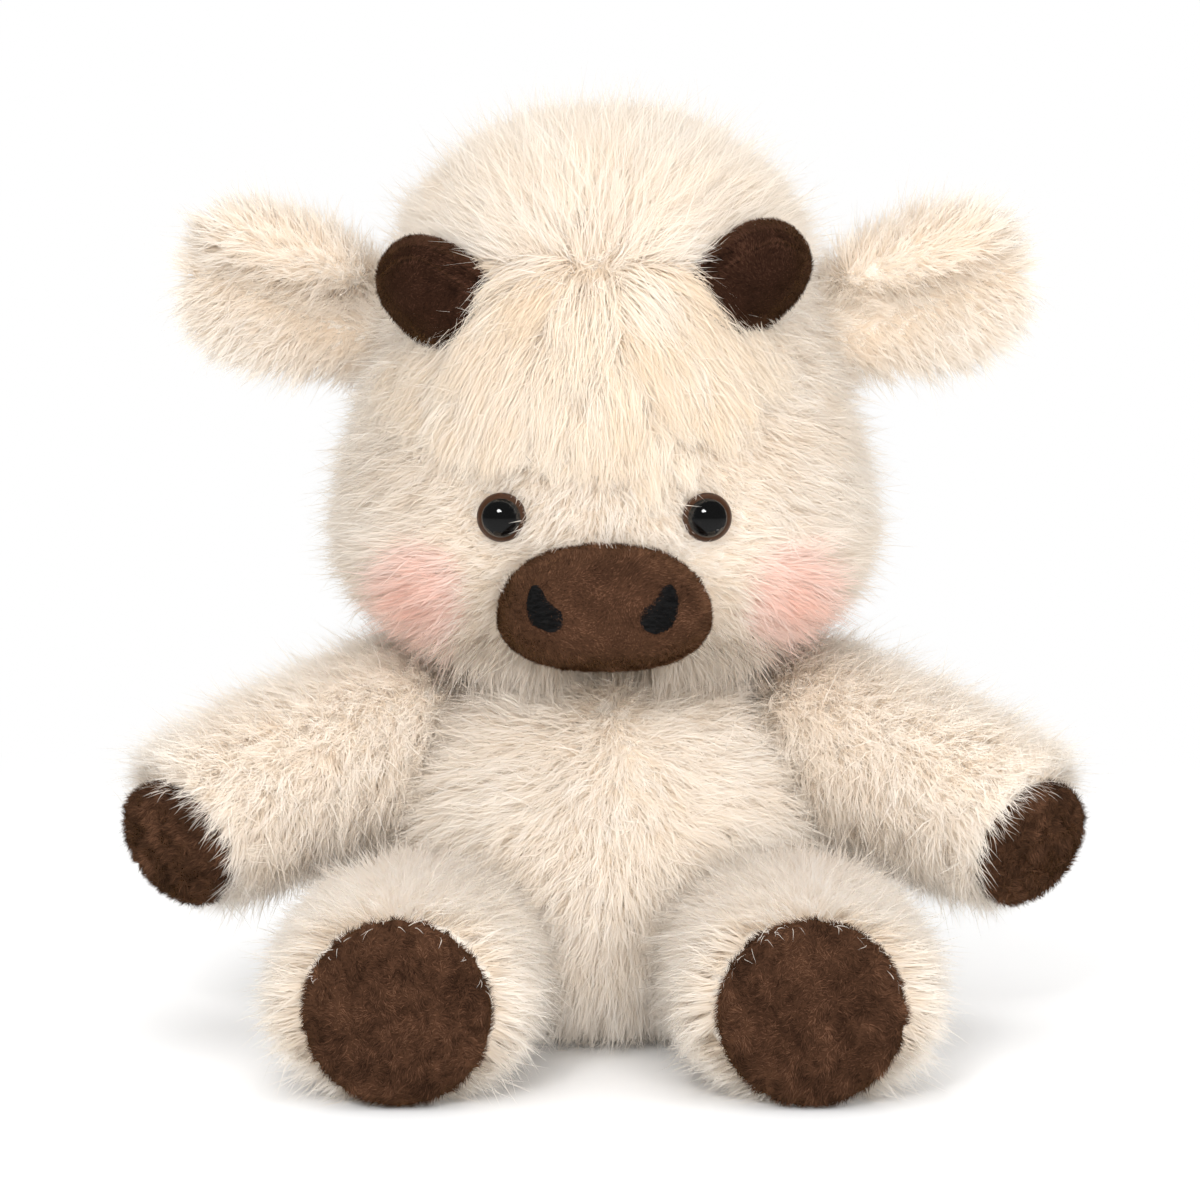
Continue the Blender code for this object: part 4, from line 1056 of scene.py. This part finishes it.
class COW_OT_arms(bpy.types.Operator):
    """Stuff both arms and grow their fur"""

    bl_idname = "plush_cow.arms"
    bl_label = "Arms"

    def execute(self, context):
        fur = settings().fur
        for number, (label, side) in enumerate(SIDES):
            rng = np.random.default_rng(SEED + 20 + number)
            body = "arm_" + label
            nodes = ("arm_skin_" + label, "arm_stuffing_" + label)
            add_backing(body + "_backing", arm_form(label), body, *nodes)
            roots, normals = spread(arm_form(label), 0.0025, rng)
            trees = [surface_tree(form()) for form in (torso_form, head_form)]
            kept = outside(roots, trees, 0.003)
            axis, end = limb_axis("arm_skin_" + label, "hoof_pad_" + label)
            radius = np.linalg.norm(np.cross(roots - end, axis), axis=1)
            kept &= ~((normals @ axis > 0.6) & (radius < PAD_CLEAR))
            roots, normals = roots[kept], normals[kept]
            comb = np.tile(axis * 0.9 + np.array((0, 0, -0.50)), (len(roots), 1))
            ahead = (roots - end) @ axis
            near = np.clip(1 + ahead / 0.014, 0, 1)
            rim = normals @ axis > 0.45
            comb[rim] = (roots - end - ahead[:, None] * axis)[rim]
            length = fur.pile * (1 - 0.20 * near)
            length *= (1 + 0.08 * np.clip(normals[:, 2], 0, 1) + 0.07 * drift(roots, 0.012, rng))
            lift = 0.55 * near * ~rim + 0.45 * closeness(roots, trees, NEAR_REACH)
            coat = Coat(roots, normals, comb, length, plain_tint(roots, rng), lift)
            grow_coat(body, body, coat, rng, (0.52, 1.20), gather=0.35)
            add_disc("hoof_pad_" + label, body)

            def at_rim(points, normals):
                away = np.linalg.norm(np.cross(points - end, axis), axis=1)
                return (normals @ axis > 0.1) & (away > 0.0185) & (side * (points - end)[:, 0] < 0.006)

            form = arm_form(label)
            add_strays("hoof_pad_" + label, body, form, at_rim, end, 0.6 * fur.pile, rng, (0.1, 0.7))
        return {"FINISHED"}


class COW_OT_legs(bpy.types.Operator):
    """Stuff both legs and grow their fur"""

    bl_idname = "plush_cow.legs"
    bl_label = "Legs"

    def execute(self, context):
        fur = settings().fur
        for number, (label, _) in enumerate(SIDES):
            rng = np.random.default_rng(SEED + 30 + number)
            body = "leg_" + label
            nodes = ("leg_skin_" + label, "leg_stuffing_" + label)
            add_backing(body + "_backing", leg_form(label), body, *nodes)
            roots, normals = spread(leg_form(label), 0.0025, rng)
            trees = [surface_tree(torso_form())]
            kept = outside(roots, trees, 0.003)
            end = middle_of("sole_" + label)
            away = np.hypot(roots[:, 0] - end[0], roots[:, 2] - end[2])
            kept &= ~((normals[:, 1] < -0.3) & (away < SOLE_CLEAR))
            roots, normals = roots[kept], normals[kept]
            comb = (roots - end) * (1, 0, 1) / 0.03 + np.array((0, -0.25, -0.25))
            length = 0.90 * fur.pile * (1 + 0.06 * drift(roots, 0.012, rng))
            lift = 0.40 * closeness(roots, trees, NEAR_REACH)
            coat = Coat(roots, normals, comb, length, plain_tint(roots, rng), lift)
            grow_coat(body, body, coat, rng, (0.48, 1.10), gather=0.30)
            disc = add_disc("sole_" + label, body)
            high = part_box("sole_" + label)[1].z - end[2]

            def at_rim(points, normals):
                away = np.hypot(points[:, 0] - end[0], points[:, 2] - end[2])
                upper = points[:, 2] > end[2] + 0.2 * high
                return (away > 0.93 * high) & upper & (rng.random(len(points)) < 0.07)

            add_strays("sole_" + label, body, disc, at_rim, end, 0.50 * fur.pile, rng, (0.5, 1.30))
        return {"FINISHED"}


def add_disc(node, body):
    """A stuffed suede disc over a pad's or a sole's solid, with its nap."""
    mesh = stuffed_form(node + "_suede", node, 0.0014, 5, 0.0002)
    add_stuffed(node + "_suede", mesh, body, suede_finish(), (node,))
    grow_nap(node, mesh, body, brushed=1.0)
    return mesh


def grow_nap(name, mesh, body, finish="suede_nap", brushed=0.0, seam=None):
    """The short nap of brushed suede cloth, which lies in wandering directions.

    Brushed cloth has longer strokes in dark and light patches. A seam shows as a dark line of painted shade,
    with a lighter border of painted highlight, and the rim beyond it is painted lighter as well.
    """
    suede = settings().suede
    rng = np.random.default_rng(SEED + sum(ord(letter) for letter in name))
    points, normals = sample_surface(mesh, int(mesh_area(mesh) / MILLIMETRE**2 * suede.density), rng)
    angle = 1.5 * drift(points, 0.045, rng) + 0.5 * drift(points, 0.012, rng)
    angle += 2.0 * brushed * drift(points, 0.009, rng)
    comb = np.stack((np.sin(angle), 0 * angle, np.cos(angle) - 0.6), axis=1)
    level = 0.5 + 0.14 * drift(points, 0.010, rng) + rng.normal(0, 0.20, len(points))
    level += brushed * (0.14 * drift(points, 0.018, rng) + 0.10 * drift(points, 0.0035, rng) - 0.08)
    if seam:
        # At a seam: painted shade along its line, painted highlights on the ridges beside it and painted
        # light on the rim beyond
        facing = normals @ unit(np.array(seam[0])) - seam[1]
        level += 0.30 * (facing < -0.12) + 0.30 * np.exp(-(((np.abs(facing) - 0.16) / 0.06) ** 2))
        level -= 0.9 * np.exp(-((facing / 0.06) ** 2))
    length = np.full(len(points), (2.6 + 1.6 * brushed) * suede.nap)
    coat = Coat(points, normals, comb, length, held(level))
    strands = strand_lines(coat, 1, 0.0, (0.8, 0.8), 1, rng, sway=0.30)
    order = by_angle(points)
    strands = tuple(part[order] for part in strands)
    grow_fur(name + "_nap", body, nap_finish(finish), strands, 0.00024, rng)


def nap_finish(name="suede_nap"):
    suede = settings().suede
    colour = tuple(suede.horn if name == "horn_nap" else suede.colour)
    return bpy.data.materials.get(name) or nap_material(name, colour)


class COW_OT_tail(bpy.types.Operator):
    """Grow the tail's fur and its tuft"""

    bl_idname = "plush_cow.tail"
    bl_label = "Tail"

    def execute(self, context):
        fur = settings().fur
        rng = np.random.default_rng(SEED + 40)
        mesh = stuffed_form("tail_backing", "tail", 0.0012, 3, -0.0022)
        add_backing("tail_backing", mesh, "tail", "tail")
        roots, normals = spread(mesh, 0.0014, rng)
        down = unit(middle_of("tail_tuft") - middle_of("tail"))
        comb = np.tile(down, (len(roots), 1))
        coat = Coat(roots, normals, comb, np.full(len(roots), 0.5 * fur.pile), plain_tint(roots, rng))
        grow_coat("tail", "tail", coat, rng, (0.7, 1.3), tuft=0.0011, density=1.6)
        mesh = stuffed_form("tail_tuft_backing", "tail_tuft", 0.0010, 3, -0.0030)
        add_stuffed("tail_tuft_backing", mesh, "tail", suede_finish(), ("tail_tuft",))
        roots, normals = sample_surface(mesh, 700, rng)
        level = held(rng.normal(0.5, 0.2, len(roots)))
        comb = np.tile(down, (len(roots), 1))
        coat = Coat(roots, normals, comb, np.full(len(roots), 0.65 * fur.pile), level)
        strands = strand_lines(coat, 7, 0.0012, (0.6, 1.35), 3, rng)
        grow_fur("tail_tuft_fur", "tail", nap_finish(), strands, fur.strand, rng)
        return {"FINISHED"}


def stitch_lines(node, form, rng):
    """Satin stitches across a kidney-shaped nostril: threads laid side by side over the muzzle's surface."""
    low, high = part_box(node)
    side = math.copysign(1, low.x + high.x)
    outer, inner = (high.x, low.x) if side > 0 else (low.x, high.x)
    shares = np.array(NOSTRIL_SHARES)
    places = np.linspace(0, len(shares) - 1, NOSTRIL_THREADS)
    knots = np.arange(len(shares))
    u, v, half = (np.interp(places, knots, shares[:, column]) for column in range(3))
    middle = np.stack((outer + (inner - outer) * u - 0.0012, 0 * u, low.z + (high.z - low.z) * v), axis=1)
    ahead = unit(np.gradient(middle, axis=0))
    across = np.stack((ahead[:, 2], 0 * u, -ahead[:, 0]), axis=1) * 0.75 + np.array((-0.4, 0, 0.1))
    across = unit(np.where((across[:, :1] < 0), across, -across))
    lines, ways = [], []
    half = half * (high.z - low.z) * (1.05 + rng.normal(0, 0.035, len(half)))
    for share, height in ((-1.0, 0.0), (-0.55, 0.0007), (0.0, 0.0010), (0.55, 0.0007), (1.0, 0.0)):
        point = middle + across * (half * share)[:, None] + np.array((0, low.y, 0))
        found = [form.find_nearest(Vector(place)) for place in point]
        way = np.array([hit[1] for hit in found])
        lines.append(np.array([hit[0] for hit in found]) + way * (height + 0.0003 * rng.random((len(u), 1))))
        ways.append(way)
    return np.stack(lines, axis=1), np.stack(ways, axis=1), rng.uniform(0.2, 0.8, len(u))


class COW_OT_muzzle(bpy.types.Operator):
    """Sew the suede muzzle and stitch its nostrils"""

    bl_idname = "plush_cow.muzzle"
    bl_label = "Muzzle"

    def execute(self, context):
        rng = np.random.default_rng(SEED + 60)
        mesh = stuffed_form("muzzle_suede", "muzzle_stuffing", 0.0016, 4, 0.0026)
        low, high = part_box("muzzle")
        for vert in mesh.vertices:
            vert.co.x *= 1 - 0.05 * (2 * (vert.co.z - low.z) / (high.z - low.z) - 1)
        nodes = ("muzzle", "muzzle_stuffing")
        add_stuffed("muzzle_suede", mesh, "head", suede_finish(), nodes)
        grow_nap("muzzle", mesh, "head")
        middle = middle_of("muzzle")

        def at_rim(points, normals):
            _, away = face_shares(points)
            return (away > 0.955) & (points[:, 2] > middle[2] + 0.004) & (rng.random(len(points)) < 0.14)

        add_strays("muzzle", "head", mesh, at_rim, middle, 0.38 * settings().fur.pile, rng, (0.6, 1.40))
        form = surface_tree(mesh)
        thread = thread_material("stitching")
        for label, _ in SIDES:
            node = "nostril_" + label
            stitches = ribbon_mesh(node + "_stitching", *stitch_lines(node, form, rng), 0.0011, rng)
            add_piece(node + "_stitching", stitches, "head", thread, (node,))
        return {"FINISHED"}


def sew_round(mesh, front, facing, width, depth):
    """Press a seam into a form where its surface turns away from the front by a given share."""
    front = Vector(front).normalized()
    with reshaping(mesh) as bm:
        bm.normal_update()
        for vert in bm.verts:
            near = (vert.normal.dot(front) - facing) / width
            vert.co -= vert.normal * depth * math.exp(-near * near)
    mesh.shade_smooth()


class COW_OT_horns(bpy.types.Operator):
    """Sew the two suede horns"""

    bl_idname = "plush_cow.horns"
    bl_label = "Horns"

    def execute(self, context):
        rng = np.random.default_rng(SEED + 50)
        for label, side in SIDES:
            node = "horn_" + label
            mesh = stuffed_form(node + "_suede", "horn_stuffing_" + label, 0.0012, 4, 0.0019)
            facing = (side * 0.35, -1, -0.55)
            sew_round(mesh, facing, HORN_SEAM, 0.10, 0.0012)
            nodes = (node, "horn_stuffing_" + label)
            add_stuffed(node + "_suede", mesh, "head", suede_finish("horn_suede"), nodes)
            grow_nap(node, mesh, "head", "horn_nap", seam=(facing, HORN_SEAM))
            middle = middle_of(node)

            def at_base(points, normals):
                away = points - middle
                flat = np.hypot(away[:, 0], away[:, 2])
                inner = (side * away[:, 0] < 0.004) | (away[:, 2] < -0.009)
                return (flat > 0.0105) & (flat < 0.0185) & inner & (points[:, 1] < 0) & (away[:, 2] < 0.012)

            add_strays(node, "head", head_form(), at_base, middle, 1.1 * settings().fur.pile, rng)
        return {"FINISHED"}


def eye_frame(label):
    """The foremost point of an eye and the direction that it looks in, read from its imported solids."""
    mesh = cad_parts["eye_" + label].data
    points = np.array([vert.co for vert in mesh.vertices])
    front = points[points[:, 1].argmin()]
    return front, unit(front - middle_of("eye_washer_" + label))


class COW_OT_eyes(bpy.types.Operator):
    """Turn the glossy eyes and their brown rings"""

    bl_idname = "plush_cow.eyes"
    bl_label = "Eyes"

    def execute(self, context):
        eyes = settings().eyes
        rng = np.random.default_rng(SEED + 70)
        ring_shader = Shader("eye_ring", 0.30, Specular_IOR_Level=0.25)
        rim = tuple(eyes.rim)
        ring_shader.colour(ring_shader.mix(ring_shader.noise(260, 2), [value * 0.7 for value in rim], rim))
        pupil_shader = Shader("eye_pupil", 0.03, Specular_IOR_Level=0.5)
        pupil_shader.surface.inputs["Base Color"].default_value = (0.002, 0.002, 0.002, 1)
        washer = Shader("washer_plastic", 0.45)
        washer.colour(washer.mix(washer.noise(300), (0.74, 0.74, 0.72), (0.82, 0.82, 0.80)))
        for label, _ in SIDES:
            front, direction = eye_frame(label)
            turn = Vector(direction).to_track_quat("Z", "Y").to_matrix().to_4x4()
            place = Matrix.Translation(Vector(front)) @ turn
            low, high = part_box("eye_" + label)
            radius = (high.z - low.z) / 2
            finish = ring_shader.material
            ring = dome_mesh(f"eye_{label}_ring", radius, 0.0042, -0.0052, place)
            add_piece(f"eye_{label}_ring", ring, "head", finish, ("eye_" + label,))
            pupil = dome_mesh(f"eye_{label}_pupil", radius * eyes.pupil_share, 0.0046, -0.0042, place)
            add_piece(f"eye_{label}_pupil", pupil, "head", pupil_shader.material)
            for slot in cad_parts["eye_washer_" + label].material_slots:
                slot.link = "OBJECT"
                slot.material = washer.material
            middle = middle_of("eye_" + label)

            def at_rim(points, normals):
                away = np.hypot(points[:, 0] - middle[0], points[:, 2] - middle[2])
                upper = points[:, 2] > middle[2] - 0.002
                return (points[:, 1] < -0.03) & (away > 0.0066) & (away < 0.0092) & upper

            length = 0.40 * settings().fur.pile
            add_strays("eye_" + label, "head", head_form(), at_rim, middle, length, rng, (0.1, 0.9))
        return {"FINISHED"}


def dome_mesh(name, radius, height, base, place):
    """A round dome, closed by a flatter one behind."""
    bm = bmesh.new()
    bmesh.ops.create_uvsphere(bm, u_segments=48, v_segments=32, radius=1)
    bmesh.ops.scale(bm, vec=(radius, radius, height), verts=bm.verts)
    for vert in bm.verts:
        if vert.co.z < 0:
            vert.co.z *= 0.3
    bmesh.ops.translate(bm, vec=(0, 0, base), verts=bm.verts)
    bmesh.ops.transform(bm, matrix=place, verts=bm.verts)
    mesh = bpy.data.meshes.new(name)
    bm.to_mesh(mesh)
    bm.free()
    mesh.shade_smooth()
    return mesh


class COW_OT_stage(bpy.types.Operator):
    """Set the floor, the softboxes and the camera"""

    bl_idname = "plush_cow.stage"
    bl_label = "Stage"

    def execute(self, context):
        stage = settings().stage
        scene = context.scene
        scene.view_settings.view_transform = "Standard"
        target = Vector(CAMERA_TARGET)
        camera = bpy.data.objects.new("camera", bpy.data.cameras.new("camera"))
        scene.collection.objects.link(camera)
        camera.data.lens = stage.lens
        camera.data.sensor_width = 36
        camera.data.clip_start = 0.01
        away = Vector((0, -math.cos(stage.elevation), math.sin(stage.elevation)))
        camera.location = target + away * stage.distance
        camera.rotation_euler = (-away).to_track_quat("-Z", "Y").to_euler()
        scene.camera = camera
        bm = bmesh.new()
        bmesh.ops.create_grid(bm, x_segments=1, y_segments=1, size=6)
        mesh = bpy.data.meshes.new("floor")
        bm.to_mesh(mesh)
        bm.free()
        floor = bpy.data.objects.new("floor", mesh)
        scene.collection.objects.link(floor)
        shader = Shader("floor", 0.9)
        shader.surface.inputs["Base Color"].default_value = (FLOOR_TONE, FLOOR_TONE, FLOOR_TONE, 1)
        where = shader.add("ShaderNodeTexCoord", output=3)
        away = shader.add("ShaderNodeVectorMath", {"operation": "LENGTH"}, {0: where}, output=1)
        seen = shader.add("ShaderNodeLightPath")
        far = {"From Min": 0.20, "From Max": 0.62, "Value": away}
        share = shader.add("ShaderNodeMapRange", {"interpolation_type": "SMOOTHSTEP"}, far) * seen
        glow = shader.add("ShaderNodeEmission", {}, {"Color": (1, 1, 1, 1), "Strength": 1.0})
        shader.mix_with(share, glow)
        # For glossy rays the floor is a set glow, brighter near the toy: a painted reflection in the eyes'
        # gloss
        near = {"From Min": 0.15, "From Max": 3.0, "To Min": 0.5, "To Max": GLOSS_LEVEL, "Value": away}
        level = shader.add("ShaderNodeMapRange", {}, near)
        painted_reflection = shader.add("ShaderNodeEmission", {}, {"Color": (1, 1, 1, 1), "Strength": level})
        gloss = shader.add("ShaderNodeLightPath", output=3)
        shader.mix_with(gloss, painted_reflection)
        mesh.materials.append(shader.material)
        for name, place, size, glints in SOFTBOXES:
            add_softbox(name, place, size, getattr(stage, name), glints)
        add_world(stage.ambient)
        return {"FINISHED"}


def add_softbox(name, place, size, power, glints):
    """A soft light aimed at the toy and unseen by the camera. One that glints shows in the eyes' gloss."""
    light = bpy.data.lights.new(name, "AREA")
    light.shape = "DISK"
    light.size = size
    light.energy = power
    lamp = bpy.data.objects.new(name, light)
    bpy.context.scene.collection.objects.link(lamp)
    lamp.visible_glossy = glints
    lamp.visible_camera = False
    lamp.location = place
    lamp.rotation_euler = (Vector(LIGHT_TARGET) - Vector(place)).to_track_quat("-Z", "Y").to_euler()


def add_world(ambient):
    """White surroundings: plain white where the camera sees them, and a little darker in the eyes' gloss."""
    world = bpy.data.worlds.new("surroundings")
    world.use_nodes = True
    nodes = world.node_tree.nodes
    links = world.node_tree.links
    background = nodes["Background"]
    background.inputs["Color"].default_value = (1, 1, 1, 1)
    path = nodes.new("ShaderNodeLightPath")
    lighting = nodes.new("ShaderNodeMapRange")
    lighting.inputs["To Min"].default_value = ambient
    lighting.inputs["To Max"].default_value = GLOSS_LEVEL
    links.new(path.outputs["Is Glossy Ray"], lighting.inputs["Value"])
    level = nodes.new("ShaderNodeMapRange")
    level.inputs["To Max"].default_value = 1.0
    links.new(lighting.outputs["Result"], level.inputs["To Min"])
    links.new(path.outputs["Is Camera Ray"], level.inputs["Value"])
    links.new(level.outputs["Result"], background.inputs["Strength"])
    bpy.context.scene.world = world


class COW_PT_panel(bpy.types.Panel):
    """Lists the pieces of the plush cow"""

    bl_label = "Plush Cow"
    bl_idname = "COW_PT_panel"
    bl_space_type = "VIEW_3D"
    bl_region_type = "UI"
    bl_category = "Plush Cow"

    def draw(self, context):
        for group in ("fur", "suede", "eyes", "stage"):
            owner = getattr(context.scene.plush_cow, group)
            box = self.layout.box()
            for name in owner.bl_rna.properties.keys():
                if name not in ("name", "rna_type"):
                    box.prop(owner, name)
        for operator in PIECES:
            self.layout.operator(operator.bl_idname)


PIECES = (
    COW_OT_torso,
    COW_OT_head,
    COW_OT_forelock,
    COW_OT_ears,
    COW_OT_arms,
    COW_OT_legs,
    COW_OT_tail,
    COW_OT_muzzle,
    COW_OT_horns,
    COW_OT_eyes,
    COW_OT_stage,
)
CLASSES = (CowFur, CowSuede, CowEyes, CowStage, CowSettings, *PIECES, COW_PT_panel)


def register():
    for item in CLASSES:
        bpy.utils.register_class(item)
    bpy.types.Scene.plush_cow = PointerProperty(type=CowSettings)


def unregister():
    del bpy.types.Scene.plush_cow
    for item in reversed(CLASSES):
        bpy.utils.unregister_class(item)


def main():
    register()
    for operator in PIECES:
        group, name = operator.bl_idname.split(".")
        getattr(getattr(bpy.ops, group), name)()


if __name__ == "__main__":
    main()
